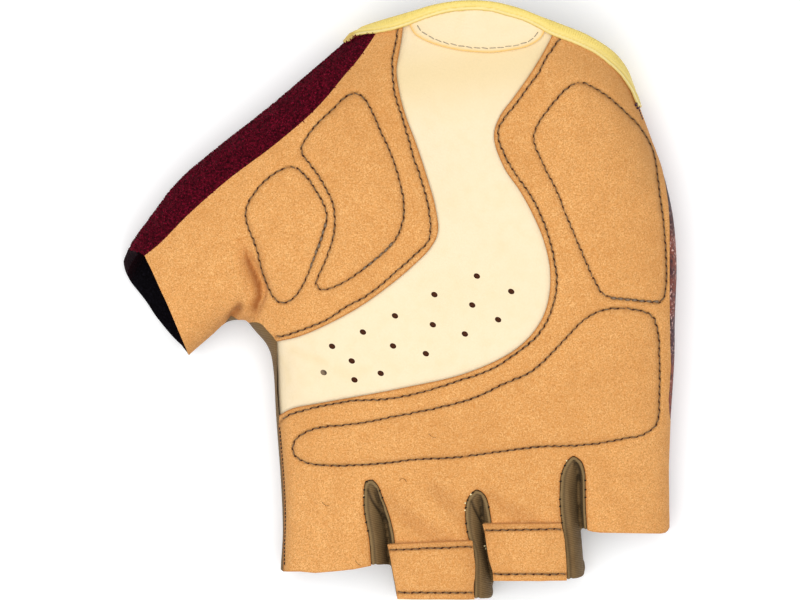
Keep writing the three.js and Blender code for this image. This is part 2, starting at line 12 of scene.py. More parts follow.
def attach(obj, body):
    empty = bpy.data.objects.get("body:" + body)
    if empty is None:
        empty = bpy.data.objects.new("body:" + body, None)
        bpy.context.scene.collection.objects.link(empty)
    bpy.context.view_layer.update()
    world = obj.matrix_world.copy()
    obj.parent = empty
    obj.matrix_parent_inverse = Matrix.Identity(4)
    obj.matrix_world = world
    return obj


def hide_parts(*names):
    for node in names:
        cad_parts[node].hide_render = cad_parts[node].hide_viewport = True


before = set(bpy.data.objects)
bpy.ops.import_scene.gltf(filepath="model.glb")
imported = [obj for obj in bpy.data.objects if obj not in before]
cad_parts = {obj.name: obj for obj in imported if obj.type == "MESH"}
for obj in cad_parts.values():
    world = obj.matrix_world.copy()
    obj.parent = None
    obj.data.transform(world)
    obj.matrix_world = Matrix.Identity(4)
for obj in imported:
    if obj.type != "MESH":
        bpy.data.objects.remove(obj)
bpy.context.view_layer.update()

# A right-hand fingerless cycling mitt, lying on its back with the palm up. The tables are in
# millimetres, in the part's frame: +Z up, fingers towards -Y, thumb towards -X.
MM = 0.001
FINE = 0.6  # spacing of the points of the outer skins
COARSE = 1.8  # the same inside, where little shows
SUEDE = 0.8  # thickness of the suede
WALL = 1.6
PARTING = 11.5  # height at which the palm pieces end and the back begins
SINK = 2.4  # how far the round underside would reach below the table, flattened away
BULK = 0.44  # height of the widest place, as a share of the thickness
SQUARE = 2.5  # exponent of the section
HIGH = 60
BACK_CUT, PALM_CUT = 5.0, 17.0  # between these heights a cut passes from the back's line to the palm's
RIM_HEIGHT = 22  # where the form itself isn't met
SLIT_BETWEEN = 0.12  # half the space between the two sides of a strip
CLOTH = 1.1  # thickness of the strips between the fingers
SHOULDER = 1.4  # how far below the suede's surface a finger gap starts to round over
UNDERSIDE_GAP = {"spread": 3.2, "height": 11.5}
BINDING_SWELL = 0.7
random.seed(7485)
draw = np.random.default_rng(7485)

# The hand, section by section from beyond the cuff to beyond the fingertips: y, left, right, top.
HAND_SECTIONS = [
    (90, -4, 50, 26.5), (76, -8, 56.5, 28), (66, -15.2, 57.5, 29.5), (55, -25, 60.6, 30.5),
    (44, -34, 64.6, 31.5), (34, -40, 68.2, 32.5), (22, -44, 71, 33), (10, -45, 72, 32.5),
    (-1, -42.5, 71.7, 32), (-7, -38.6, 71.5, 31.5), (-12, -34.5, 71.5, 31), (-18, -33, 71.3, 30),
    (-32, -32.2, 70.4, 28), (-46, -31.15, 70, 25.5), (-60, -30.6, 70.2, 24), (-72, -31.2, 70, 23.5),
    (-92, -31.2, 70, 23),
]
# The thumb, each section from its outer side to the side next to the index finger, and its top.
THUMB_SECTIONS = [
    ((-8.5, 72), (-14, -4), 29), ((-19.5, 62.4), (-25, -5), 29.5), ((-34.3, 49.9), (-34, -5.5), 28.5),
    ((-46.4, 40.4), (-40.5, -5.2), 27), ((-57.2, 31.2), (-45, -5.8), 25.5),
    ((-64.9, 21.5), (-49, -9.2), 24), ((-72.2, 11), (-54.4, -13.9), 22.5), ((-81, -4), (-63, -22), 22),
]
# Valleys of the palm side that are in the form itself: depth, width and line.
FORM_FOLDS = [
    (2.0, 4, [(-40.8, 19), (-39.4, 9), (-37.4, 3), (-37, -5)]),
    (1.4, 2.2, [(-43.6, -6), (-41, -1)]),
    (2.8, 5, [(-7, -50), (-2, -92)]),
    (2.8, 5, [(20.5, -52), (25.5, -92)]),
    (2.8, 5, [(45.5, -45), (48.5, -92)]),
    (1.5, 13, [(12, 62), (22, 6)]),
]
# Small creases and, with a negative depth, ridges of the suede and the stretch cloth, as above.
CREASES = [
    (2.0, 1.2, [
        (-40.6, 15), (-39.4, 10.9), (-38.2, 8.3), (-36.9, 5.5), (-36.2, 3.2), (-36.1, 1.3), (-37.1, -1.3),
        (-37.6, -3.6),
    ]),
    (-1.1, 2.0, [(-43.4, 12), (-41.8, 5), (-40.3, -0.5)]),
    (1.1, 0.9, [(-44.1, -4.6), (-42.6, -3.2), (-41.6, -1.4)]),
    (0.4, 1.0, [(-38.4, -4.4), (-37.4, -3.0), (-36.4, -1.2)]),
    (0.6, 1.6, [(23, -51), (27, -54), (34, -57)]),
    (0.7, 2.0, [(9, -49), (13, -53), (17, -57)]),
    (1.0, 2.0, [(-3, -52.5), (1, -56), (6, -59.5), (12, -62.2)]),
    (0.4, 2.2, [(30, -44), (40, -52)]),
    (0.4, 2.4, [(52, -44), (58, -54)]),
    (0.35, 3.0, [(-24, -50), (-14, -62)]),
    (0.3, 1.4, [(-14, -12), (-11, -18), (-12, -25)]),
    (0.25, 1.3, [(-9.5, -12), (-6.5, -18), (-7, -24)]),
    (0.2, 1.6, [(-24, -12), (-22, -18), (-23, -24)]),
]
# Each space between two fingers: y, its left and right edge, its deepest line and how low it goes.
FINGER_GAPS = {
    "fourchette_index_middle": [
        (-46.7, -7.7, -7.2, -7.4, 21.5), (-47.2, -8.9, -6.6, -7.1, 20.8), (-48.5, -9.25, -5.6, -6.4, 20),
        (-51, -9.4, -4.65, -5.4, 18.5), (-54, -9.35, -3.5, -4.5, 15.5), (-57.5, -8.85, -2.4, -3.5, 11.5),
        (-62, -8, -1.5, -2.8, 9), (-69, -7.4, -1.1, -2.4, 9), (-74, -7, -0.5, -1.4, 9),
        (-78, -6.8, 0.1, -0.85, 9), (-92, -6.4, 0.4, -0.5, 9),
    ],
    "fourchette_middle_ring": [
        (-49.3, 19.7, 20.2, 20, 21.5), (-49.9, 18.9, 21.2, 20.3, 21), (-51.2, 17.8, 22.3, 20.8, 20.2),
        (-53.5, 17.05, 23, 21.2, 18), (-57, 17, 23.6, 21.8, 13.5), (-61.5, 17.7, 24.2, 22.4, 9.5),
        (-66, 19.2, 24.6, 23, 9), (-73, 19.3, 25.4, 24.2, 9), (-92, 19, 27, 25.6, 9),
    ],
    "fourchette_ring_little": [
        (-40.6, 44.8, 45.2, 45, 21.5), (-41.2, 44, 46.2, 45.4, 21), (-42.4, 43, 47.3, 45.8, 20),
        (-45, 41.9, 48, 46.3, 17), (-48, 41.55, 48.1, 46.5, 12), (-53, 41.5, 48.15, 46.7, 9.5),
        (-59, 42.1, 48.5, 47.2, 9), (-66, 43, 49.2, 47.8, 9), (-92, 44, 51, 50, 9),
    ],
}
# Folds of the cloth strips at the heads of the finger gaps.
GAP_FOLDS = [
    [(-8.4, -49.3), (-6.9, -52.2), (-5, -54.9), (-3.6, -57.8)],
    [(-6.3, -49.2), (-5.7, -51.5), (-4.7, -54)],
    [(18.5, -52.2), (20, -55), (21.5, -57.8)],
    [(20.7, -50.8), (21.1, -53.3), (21.3, -56.2)],
    [(45.2, -41.8), (46.2, -44), (46.4, -47)],
]
# Outlines seen from above the palm.
OUTLINES = {
    "cuff": [
        (-18, 73.6), (-15, 71.1), (-13.5, 69.9), (-12.7, 69.6), (-12, 70), (-10, 71), (-8, 71.7),
        (-4, 72.9), (0, 74.05), (4, 75.2), (8, 76.4), (12, 77.2), (16, 77.65), (20, 77.7), (24, 77.35),
        (28, 76.5), (32, 75.3), (36, 73.7), (40, 72.2), (44, 70.7), (48, 69.1), (52, 66.9), (54, 65.6),
        (56, 64), (58, 61.7), (59.4, 59.5), (60.4, 57.3), (61.1, 55.3), (61.7, 53.6), (63.6, 54.1),
        (70, 56.4),
    ],
    "cuff_seam": [
        (-20, 71.6), (-16.2, 68.5), (-15, 67.4), (-14.2, 66.9), (-13.3, 67.2), (-12.7, 67.7), (-12, 68.3),
        (-11, 68.7), (-8.5, 69.05), (-6.2, 69.25), (-2, 70), (0, 70.6), (2, 71.2), (4, 72), (8, 73.4),
        (12, 74.5), (16, 75), (20, 75.1), (24, 74.7), (28, 73.6), (32, 72.4), (36, 70.5), (38, 69.3),
        (40, 68.4), (44, 66.9), (48, 65.2), (50, 64.2), (52, 62.9), (54, 61.3), (56, 59.6), (57.5, 58),
        (58.6, 56.5), (59.6, 55), (60.4, 53.5), (61, 52), (61.5, 51), (62.1, 50.1), (63.8, 50.6), (70, 53),
    ],
    "cuff_of_back": [
        (-18, 73.6), (-15, 71.1), (-13.3, 69.6), (-12.2, 68.6), (-10.5, 68), (-8, 68.2), (-2, 69.4),
        (12, 70.2), (28, 69), (44, 65.4), (54, 60.4), (59.2, 56), (61, 54.2), (61.8, 53.6), (63.6, 54.1),
        (70, 56.4),
    ],
    "cuff_seam_of_back": [
        (-20, 71.6), (-16.2, 68.5), (-15, 67.3), (-14, 66.2), (-12.4, 65.2), (-9, 65.4), (-2, 66.6),
        (12, 67.4), (28, 66.2), (44, 62.6), (52.6, 57.8), (57.8, 53.4), (60.6, 51.2), (62.2, 50.1),
        (63.8, 50.6), (70, 53),
    ],
    "finger_ends": [
        (-40, -70.2), (-31.2, -70), (-30.3, -70.6), (-26, -70.55), (-22, -70.9), (-16, -70.35),
        (-12, -69.9), (-9, -69.3), (-7, -68.9), (-4, -68.8), (-2.4, -69), (-2, -71.5), (-1.4, -74.5),
        (-1.05, -77.5), (2, -77.6), (23.4, -77.6), (24.1, -77.1), (24.4, -76), (24.4, -72.9),
        (43.4, -72.65), (46, -72.35), (47.5, -71.95), (48.15, -71.2), (48.3, -70), (47.7, -64),
        (47.2, -59.3), (48.5, -59.75), (50, -60.15), (52, -60.4), (67.8, -60.7), (69, -60.5), (69.7, -59.9),
        (70.2, -59), (80, -58),
    ],
    "channel_outer": [
        (41.5, 74), (38.7, 67.1), (34.2, 59.3), (29.8, 53), (25.6, 47.1), (24.3, 42.2), (26.9, 34.3),
        (31.1, 28.1), (34.5, 21.8), (37.1, 15.6), (38.8, 8), (38.4, 0), (36, -6.2), (30.3, -12.5),
        (17.8, -18.7), (-1, -23.1), (-20, -26.6), (-28.4, -28.3), (-31.4, -30),
    ],
    "channel_inner": [
        (-31.9, -10.8), (-25.9, -9.4), (-12.6, -3.1), (-3.5, 3.1), (3.8, 9.2), (8, 13.6), (9.8, 17.4),
        (9.2, 24), (7.2, 31.2), (4.3, 40.2), (1.8, 46.8), (0, 53), (-0.9, 59.3), (-0.4, 63), (0.4, 67.5),
        (0.8, 71), (1.2, 76),
    ],
    "index_side": [(-31.6, -33), (-31.2, -37.4), (-30.4, -48), (-30.1, -56), (-30.3, -64), (-30.7, -92)],
    "terry_edge": [
        (-3, 76), (-6.2, 69.3), (-8.6, 65.6), (-11.5, 61.6), (-13.7, 59.1), (-21.5, 49.9), (-32.1, 40.6),
        (-44.6, 31.2), (-55.3, 21.8), (-61.8, 15.2), (-64, 13.3), (-66.3, 11.5), (-80, -1),
    ],
    "mouth_of_palm": [
        (-90, 18.5), (-71, 13.4), (-68, 12.6), (-66.4, 11.6), (-65.8, 10.4), (-65, 8.9), (-64.2, 7.2),
        (-63.2, 5), (-62, 2.3), (-60.9, 0), (-60, -2), (-59, -4.4), (-58, -6.8), (-57, -9.2), (-56, -11.6),
        (-55.3, -13.2), (-50, -24),
    ],
    "mouth_of_back": [
        (-90, 20), (-71.6, 13), (-72.05, 10.5), (-71.7, 8), (-71, 6.3), (-70, 4.5), (-68, 2), (-66, -0.6),
        (-64, -3.7), (-62, -6.3), (-60, -8.7), (-58, -10.8), (-56, -12.6), (-50, -19),
    ],
    "heel_patch": [
        (1.6, 75), (2.6, 71), (3.7, 69), (5, 68), (8, 66.6), (12, 65.4), (16, 64.6), (20, 64.2), (24, 64.1),
        (28, 64.6), (32, 65.4), (34.5, 66.4), (36.6, 68), (37.5, 70), (38, 77),
    ],
}
LITTLE_SIDE = [
    (78, -92), (78, -38), (70.6, -33), (70, -29), (69.8, -26), (70.1, -22), (70.4, -17), (70.2, -12),
    (70.1, -6), (70, 2), (70, 12), (70, 20), (69.7, 25), (69, 30), (68.1, 34.5), (67.6, 36.5), (74, 44),
    (78, 80),
]
THUMB_CROTCH = [
    (-62, -30), (-52, -14.5), (-46.7, -7.5), (-44.6, -4.9), (-43.9, -4.1), (-43.2, -4.4), (-42, -5.3),
    (-40, -6.05), (-38.5, -5.8), (-37.2, -5.8), (-36.3, -6.1), (-35.6, -6.6), (-35, -7.3), (-34, -8.4),
    (-33, -9.4), (-32.5, -10.2),
]
TERRY_BACK_EDGE = [(-30, -10), (-29, 8), (-22, 32), (-10, 54), (-2, 78)]
GUSSET_REGION = [
    (-50, -16), (-48.2, -8), (-46.4, -4.4), (-43.5, -2.6), (-38, -3), (-28, -8), (-24, -30), (-24, -80),
    (-40, -80), (-45, -30),
]
LINING_REGION = [(-90, 30), (-58, 26), (-44, 10), (-44, -6), (-52, -30), (-90, -30)]
# Stitch lines round the padded fields.
PAD_SEAMS = {
    "thumb_pad": [
        (-28.6, 34.5), (-26.8, 34.1), (-23.9, 31.5), (-21.8, 28.3), (-19.8, 25), (-18.9, 21.4),
        (-19.8, 17.9), (-20.8, 14.6), (-23.1, 8.6), (-25.7, 2.9), (-28.3, -0.1), (-30.4, -0.8), (-32.2, 0),
        (-33.8, 2.5), (-35.9, 8.1), (-37.3, 13.8), (-39, 17.9), (-40, 21.1), (-39.8, 23.9), (-38.2, 27),
        (-35.6, 30.3), (-32.5, 32.8),
    ],
    "thenar_pad": [
        (-12.1, 53.6), (-10.1, 53), (-7.5, 49.4), (-5.5, 44.7), (-2.6, 38.5), (-1, 33.9), (0.3, 29.1),
        (1, 25), (0.8, 20.5), (-0.7, 16.4), (-3.2, 13.3), (-7, 10), (-12, 6.2), (-16.1, 3.8), (-20.3, 2.6),
        (-21.8, 3.9), (-20, 8.6), (-17.9, 13.8), (-16.9, 19.2), (-17.2, 24.4), (-19.6, 29.6), (-22.6, 34.3),
        (-24.7, 36.9), (-25.7, 39), (-23.9, 42.6), (-20.8, 46.3), (-17.4, 49.4), (-14.6, 52.3),
    ],
    "heel_pad": [
        (45.5, 56.2), (47.6, 56.2), (50.4, 54.9), (53.8, 52.8), (56.9, 50.2), (59.5, 47.8), (62.4, 44.7),
        (65.7, 38.7), (67.1, 29.6), (68.4, 19.8), (69, 10.9), (68.9, 2.9), (67.9, -0.3), (59.8, 0.1),
        (54.6, 0.6), (52.3, 1.8), (50.7, 4.4), (47.3, 11.8), (43.7, 20.3), (40.3, 28.7), (37.3, 34.7),
        (34.6, 41.9), (35.9, 45.8), (38.2, 49.1), (42.4, 54.1),
    ],
    "knuckle_pad": [
        (58.5, -2.2), (52.3, -2.7), (47.6, -5.2), (40.8, -12.2), (34.1, -18.5), (27, -21.7), (19, -25.4),
        (10.4, -27.8), (0, -29.9), (-10.9, -32), (-21.8, -33.3), (-25.5, -34.8), (-27.6, -36.9),
        (-27.6, -40), (-24.7, -42.1), (-19, -42.9), (-7.3, -42.6), (4.4, -41.3), (14.6, -40.8),
        (25.6, -39.3), (36.7, -38), (47.6, -37.6), (58.5, -35.9), (63.4, -34.8), (66.6, -32.2), (67.3, -26),
        (67.3, -15.1), (66.8, -7.8), (65.4, -4.2), (62.9, -2.9),
    ],
}
PAD_RISE = {"thumb_pad": 1.2, "thenar_pad": 1.3, "heel_pad": 1.7, "knuckle_pad": 1.4}
EDGE_SEAMS = {
    "thenar_edge": [
        (-0.7, 70.4), (-1, 67), (-2, 62.4), (-1.8, 58), (-1.5, 54), (-0.5, 50.4), (1.6, 43.9), (3.6, 36.4),
        (5.6, 30.9), (7, 25.7), (7.8, 21.1), (7.5, 15.6), (4.4, 12.2), (-1, 7.3), (-8.3, 1.3), (-14, -1.8),
        (-19.2, -5.2), (-30.9, -9.5), (-32.3, -9.6),
    ],
    "knuckle_edge": [
        (41.6, 68), (37.7, 62.4), (35.9, 58.8), (33, 54.9), (30.2, 51), (27.8, 48.1), (25.6, 44.7),
        (25.6, 41.6), (27.8, 36.1), (30.9, 31.2), (34.3, 26.3), (36.9, 20.8), (38.7, 15.9), (40, 9.9),
        (40.6, 4.7), (39, -3.4), (35.4, -9.4), (29.4, -14.3), (24.2, -17.7), (14.6, -21.1), (4.4, -24.2),
        (-3.6, -25.7), (-10.9, -26), (-21.8, -27.8), (-25, -28.7), (-28.5, -29.7), (-30, -30.6),
        (-31.8, -32.6),
    ],
}
PATCH_SEAM = [
    (4.2, 71.2), (5.2, 70), (8, 68), (12, 66.5), (16, 65.7), (20, 65.3), (24, 65.2), (28, 65.6), (32, 66.4),
    (34, 67.3), (35.2, 68.4), (35.8, 69.6),
]
# A pull tab: its two sides from the top, and its two seams.
PULL_TABS = {
    "pull_tab_middle": {
        "left": [(-3.3, -63.5), (-2.8, -65.5), (-2.2, -68.8), (-1.8, -71), (-1.2, -74), (-0.7, -77.6)],
        "right": [(18.8, -62.5), (19.2, -66), (19.5, -69), (19.4, -72), (19, -75), (19.4, -77.6)],
        "seams": [[(-2.85, -64.9), (18.85, -63.9)], [(-0.8, -75.9), (19, -75.9)]],
    },
    "pull_tab_ring": {
        "left": [(21.4, -58.2), (22, -60.5), (22.5, -64), (23.1, -67.5), (24, -70.5), (24.2, -72.9)],
        "right": [(41.8, -58), (42.6, -61.5), (43, -66), (43.2, -69), (43.3, -72.8)],
        "seams": [[(21.95, -59.8), (42, -59.4)], [(24.15, -71.1), (43.1, -71.1)]],
    },
}
# Ends of pale thread, and fibres that stand out of the suede.
KNOTS = [
    (-9.3, -49), (-9.3, -51), (-9.4, -53.5), (-9.2, -55.5), (-8.8, -57.8), (-8.9, -47.2), (18.4, -50.6),
    (17.1, -52.4), (17, -54.7), (43, -41.8), (21.7, -63.9), (22, -64.5),
]
FIBRES = [
    [(-0.2, -46.8), (0.3, -46.3), (1.2, -46.4), (1.7, -47.1)],
    [(7.4, -34.6), (8.2, -35.4), (9.3, -35.7)],
    [(-11.6, -67.6), (-11.0, -68.5), (-10.2, -68.9)],
    [(46.1, -51.4), (46.9, -52.0), (47.7, -51.9)],
    [(-20.2, -52.5), (-19.4, -53.3), (-18.3, -53.4)],
]
# Stretches where two rows of stitches lie over each other.
DOUBLED = [
    [(-19.2, 20.2), (-20.1, 17), (-21.1, 14.1), (-23.3, 8.2)],
    [(-1.8, 15), (-3.6, 13), (-7.1, 9.9), (-9.9, 7.8)],
    [(67.2, -0.3), (60, 0), (54.4, 0.7)],
]
VENT_HOLES = [
    (19.9, 6.2), (28.8, 2.2), (8.9, 1.4), (18.7, -1.3), (25.4, -5.1), (-1.3, -4.1), (8.5, -6.4),
    (16.8, -8.8), (-9.6, -8.3), (-1.8, -11.9), (6.7, -13.9), (-17.6, -12), (-12.5, -15.8), (-5, -19),
    (-11.8, -20.7), (-19.8, -18.8),
]


# Curves and distances in plan, in millimetres.
def smooth(points, closed=False, step=1.0):
    """A centripetal curve through points, as evenly spaced points."""
    p = np.array(points, float)
    if closed:
        p = np.vstack([p[-1:], p, p[:2]])
    else:
        p = np.vstack([2 * p[:1] - p[1:2], p, 2 * p[-1:] - p[-2:-1]])
    fine = []
    for a, b, c, d in zip(p[:-3], p[1:-2], p[2:-1], p[3:]):
        knots = np.cumsum([0] + [max(np.linalg.norm(v) ** 0.5, 1e-6) for v in (b - a, c - b, d - c)])
        t = np.linspace(knots[1], knots[2], 24, endpoint=False)[:, None]
        row = [a, b, c, d]
        for spans in (((0, 1), (1, 2), (2, 3)), ((0, 2), (1, 3)), ((1, 2),)):
            row = [
                (knots[j] - t) / (knots[j] - knots[i]) * old + (t - knots[i]) / (knots[j] - knots[i]) * new
                for (i, j), old, new in zip(spans, row, row[1:])
            ]
        fine.append(row[0])
    fine.append(p[-2:-1])
    return spaced(np.vstack(fine), step)[: -1 if closed else None]


def distances(line):
    """How far along a line each of its points is."""
    return np.concatenate([[0], np.cumsum(np.linalg.norm(np.diff(line, axis=0), axis=1))])


def bell(away, width):
    """1 in the middle, fading out over a width."""
    return np.exp(-((away / width) ** 2))


def ramp(values, start, width):
    """0 up to a start, and 1 from a width beyond it."""
    return np.clip((values - start) / width, 0, 1)


def spaced(line, step):
    run = distances(line)
    at = np.linspace(0, run[-1], max(2, int(round(run[-1] / step)) + 1))
    return np.stack([np.interp(at, run, line[:, k]) for k in range(line.shape[1])], axis=1)


def inset(points, distance):
    """An outline moved inwards by a distance, or outwards if that is negative."""
    p = np.array(points, float)
    nxt = np.roll(p, -1, axis=0)
    side = np.sign(np.sum(p[:, 0] * nxt[:, 1] - nxt[:, 0] * p[:, 1]))
    normal = np.stack([p[:, 1] - nxt[:, 1], nxt[:, 0] - p[:, 0]], axis=1)
    normal /= np.maximum(np.linalg.norm(normal, axis=1), 1e-9)[:, None]
    both = (normal + np.roll(normal, 1, axis=0)) / 2
    size = np.linalg.norm(both, axis=1)[:, None]
    return p + both / np.maximum(size, 1e-9) * side * distance / np.maximum(size, 0.35)


def along(line, points, closed=False, reach=9.0):
    """How far each point is from a line, and how far along it the nearest place is."""
    line = np.vstack([line, line[:1]]) if closed else np.asarray(line, float)
    best = np.full(len(points), 1e3)
    place = np.zeros(len(points))
    near = np.all((points > line.min(0) - reach) & (points < line.max(0) + reach), axis=1)
    p = points[near]
    nearest, where = np.full(len(p), 1e3), np.zeros(len(p))
    run = 0.0
    for a, b in zip(line[:-1], line[1:]):
        d = b - a
        length = np.hypot(*d)
        if length < 1e-9:
            continue
        t = np.clip(((p - a) @ d) / length**2, 0, 1)
        away = np.hypot(*(p - a - t[:, None] * d).T)
        closer = away < nearest
        nearest[closer] = away[closer]
        where[closer] = run + t[closer] * length
        run += length
    best[near], place[near] = nearest, where
    return best, place


def near_lines(lines, points, closed=False, reach=3.0):
    """How far each point is from the nearest of several lines."""
    return np.min([along(line, points, closed, reach)[0] for line in lines], axis=0)


def inside(line, points):
    crossed = np.zeros(len(points), bool)
    x, y = points.T
    for (ax, ay), (bx, by) in zip(line, np.roll(line, -1, axis=0)):
        if ay != by:
            crossed ^= ((ay > y) != (by > y)) & (x < (bx - ax) * (y - ay) / (by - ay) + ax)
    return crossed


def rail(rows, t):
    """Values of a table between its rows, at a share t of the way."""
    p = np.array(rows, float)
    p = np.vstack([2 * p[:1] - p[1:2], p, 2 * p[-1:] - p[-2:-1]])
    at = np.clip(np.asarray(t) * (len(rows) - 1), 0, len(rows) - 1 - 1e-9)
    i = at.astype(int)
    u = (at - i)[:, None]
    a, b, c, d = p[i], p[i + 1], p[i + 2], p[i + 3]
    s, e = (c - a) / 2, (d - b) / 2
    return (2 * b - 2 * c + s + e) * u**3 + (3 * c - 3 * b - 2 * s - e) * u**2 + s * u + b


def valley(rows, points):
    """The depth of folds that fade out towards their ends."""
    depth = np.zeros(len(points))
    for deepest, width, corners in rows:
        line = smooth(corners)
        away, run = along(line, points, reach=3.5 * width)
        whole = np.linalg.norm(np.diff(line, axis=0), axis=1).sum()
        fade = np.clip(np.minimum(run, whole - run) / (0.3 * whole), 0.25, 1)
        depth += deepest * fade * bell(away, width)
    return depth


def bumpy(points, size, seed):
    """Smooth noise from -1 to 1 at places in millimetres."""
    return np.array([noise.noise(Vector(p) / size + Vector((seed, 0, 0))) for p in points])


# Blender meshes.
def bake(obj):
    """Applies what the modifiers do."""
    graph = bpy.context.evaluated_depsgraph_get()
    mesh = bpy.data.meshes.new_from_object(obj.evaluated_get(graph))
    old = obj.data
    obj.modifiers.clear()
    obj.data = mesh
    bpy.data.meshes.remove(old)
    return obj


def place(name, bm):
    mesh = bpy.data.meshes.new(name)
    bm.to_mesh(mesh)
    bm.free()
    obj = bpy.data.objects.new(name, mesh)
    bpy.context.scene.collection.objects.link(obj)
    return obj


def drop(*objs):
    for obj in objs:
        mesh = obj.data
        bpy.data.objects.remove(obj)
        bpy.data.meshes.remove(mesh)


def twin(obj, name):
    made = bpy.data.objects.new(name, obj.data.copy())
    bpy.context.scene.collection.objects.link(made)
    return made


def combine(obj, how, *others):
    """Joins, cuts or trims with other closed forms, which are used up."""
    for other in others:
        step = obj.modifiers.new(how, "BOOLEAN")
        step.operation, step.solver, step.object = how, "MANIFOLD", other
    bake(obj)
    drop(*others)
    return obj


def loft(name, rings):
    """A closed form over a row of rings: a grid bent round, with its two ends filled."""
    rows, around = len(rings), len(rings[0])
    bm = bmesh.new()
    bmesh.ops.create_grid(bm, x_segments=around, y_segments=rows - 1, size=0.5)
    for v in bm.verts:
        ring = rings[int(round((v.co.y + 0.5) * (rows - 1)))]
        v.co = Vector(ring[int(round((v.co.x + 0.5) * around)) % around]) * MM
    bmesh.ops.remove_doubles(bm, verts=bm.verts, dist=1e-7)
    bmesh.ops.holes_fill(bm, edges=[e for e in bm.edges if e.is_boundary], sides=0)
    bmesh.ops.recalc_face_normals(bm, faces=bm.faces)
    return place(name, bm)


def prism(points, low, high):
    """A straight-sided form over an outline in plan."""
    bm = bmesh.new()
    floor = bm.faces.new([bm.verts.new((x * MM, y * MM, low * MM)) for x, y in points])
    top = bmesh.ops.extrude_face_region(bm, geom=[floor])["geom"]
    rise = Vector((0, 0, (high - low) * MM))
    bmesh.ops.translate(bm, vec=rise, verts=[v for v in top if isinstance(v, bmesh.types.BMVert)])
    bmesh.ops.recalc_face_normals(bm, faces=bm.faces)
    return place("prism", bm)


def remeshed(obj, voxel, rounds=4):
    step = obj.modifiers.new("even", "REMESH")
    step.mode, step.voxel_size, step.adaptivity = "VOXEL", voxel * MM, 0
    if rounds:
        calm = obj.modifiers.new("calm", "SMOOTH")
        calm.factor, calm.iterations = 0.5, rounds
    return bake(obj)


def coords(obj):
    co = np.empty(len(obj.data.vertices) * 3, np.float32)
    obj.data.vertices.foreach_get("co", co)
    return co.reshape(-1, 3).astype(float) / MM


def normals(obj):
    return np.array([v.vector for v in obj.data.vertex_normals])


def reshape(obj, co):
    co = np.array(co)
    co[:, 2] = np.maximum(co[:, 2], 0.0)
    obj.data.vertices.foreach_set("co", (co * MM).astype(np.float32).ravel())
    obj.data.update()
    return obj


def paint(obj, name, values):
    layer = obj.data.attributes.new(name, "FLOAT", "POINT")
    layer.data.foreach_set("value", np.asarray(values, np.float32))


def surface(*objs):
    graph = bpy.context.evaluated_depsgraph_get()
    return [BVHTree.FromObject(obj, graph) for obj in objs]


def land(trees, x, y):
    """The highest place of some pieces at x, y, and the normal there."""
    best = None
    for tree in trees:
        hit, normal, _, _ = tree.ray_cast(Vector((x * MM, y * MM, 0.1)), Vector((0, 0, -1)))
        if hit is not None and (best is None or hit.z > best[0].z):
            best = (hit, normal)
    return best


# The form of the mitt.
RING = 132  # points round one section
HAND_RINGS, THUMB_RINGS = 90, 44


def ring(start, end, top):
    """One section: round above, flattened where it rests."""
    start, end = np.array(start, float), np.array(end, float)
    middle, half = (start + end) / 2, np.linalg.norm(start - end) / 2
    across = (end - start) / (2 * half)
    turn = np.linspace(0, 2 * math.pi, RING, endpoint=False)
    side = np.sign(np.cos(turn)) * np.abs(np.cos(turn)) ** (2 / SQUARE)
    rise = np.abs(np.sin(turn)) ** (2 / SQUARE)
    plan = middle + half * side[:, None] * across
    waist = top * BULK
    upper = waist + (top - valley(FORM_FOLDS, plan) - waist) * rise
    lower = np.maximum(waist - (waist + SINK) * rise, 0)
    return np.column_stack([plan, np.where(turn < math.pi, upper, lower)])


def tube(name, one_side, other_side, rings):
    """A closed form between two rows of places, each with the height above it."""
    shares = np.linspace(0, 1, rings)
    pairs = zip(rail(one_side, shares), rail(other_side, shares))
    return loft(name, [ring(b[:2], a[:2], a[2]) for a, b in pairs])


def mitt_form(name, voxel):
    left = [(left, y, top) for y, left, _, top in HAND_SECTIONS]
    right = [(right, y, top) for y, _, right, top in HAND_SECTIONS]
    outer = [(*outer, top) for outer, _, top in THUMB_SECTIONS]
    inner = [(*inner, top) for _, inner, top in THUMB_SECTIONS]
    hand, thumb = tube("hand", left, right, HAND_RINGS), tube("thumb", outer, inner, THUMB_RINGS)
    form = remeshed(combine(hand, "UNION", thumb), voxel, 6)
    form.name = name
    return form


SEAMS = {name: smooth(points, True) for name, points in PAD_SEAMS.items()}
EDGES = {name: smooth(points) for name, points in EDGE_SEAMS.items()}
LEFT, RIGHT = 1, 2
GAP_SIDES = [
    smooth([(row[side], row[0]) for row in rows]) for rows in FINGER_GAPS.values() for side in (LEFT, RIGHT)
]
CUT_EDGES = [smooth(OUTLINES[name]) for name in ("channel_outer", "channel_inner", "index_side")] + GAP_SIDES
AIR_CAP = 3.0  # the highest lift, in millimetres
AIR_PRESSURE = 4
AIR_FRAMES = 20
BLANK_VOXEL = 2.4


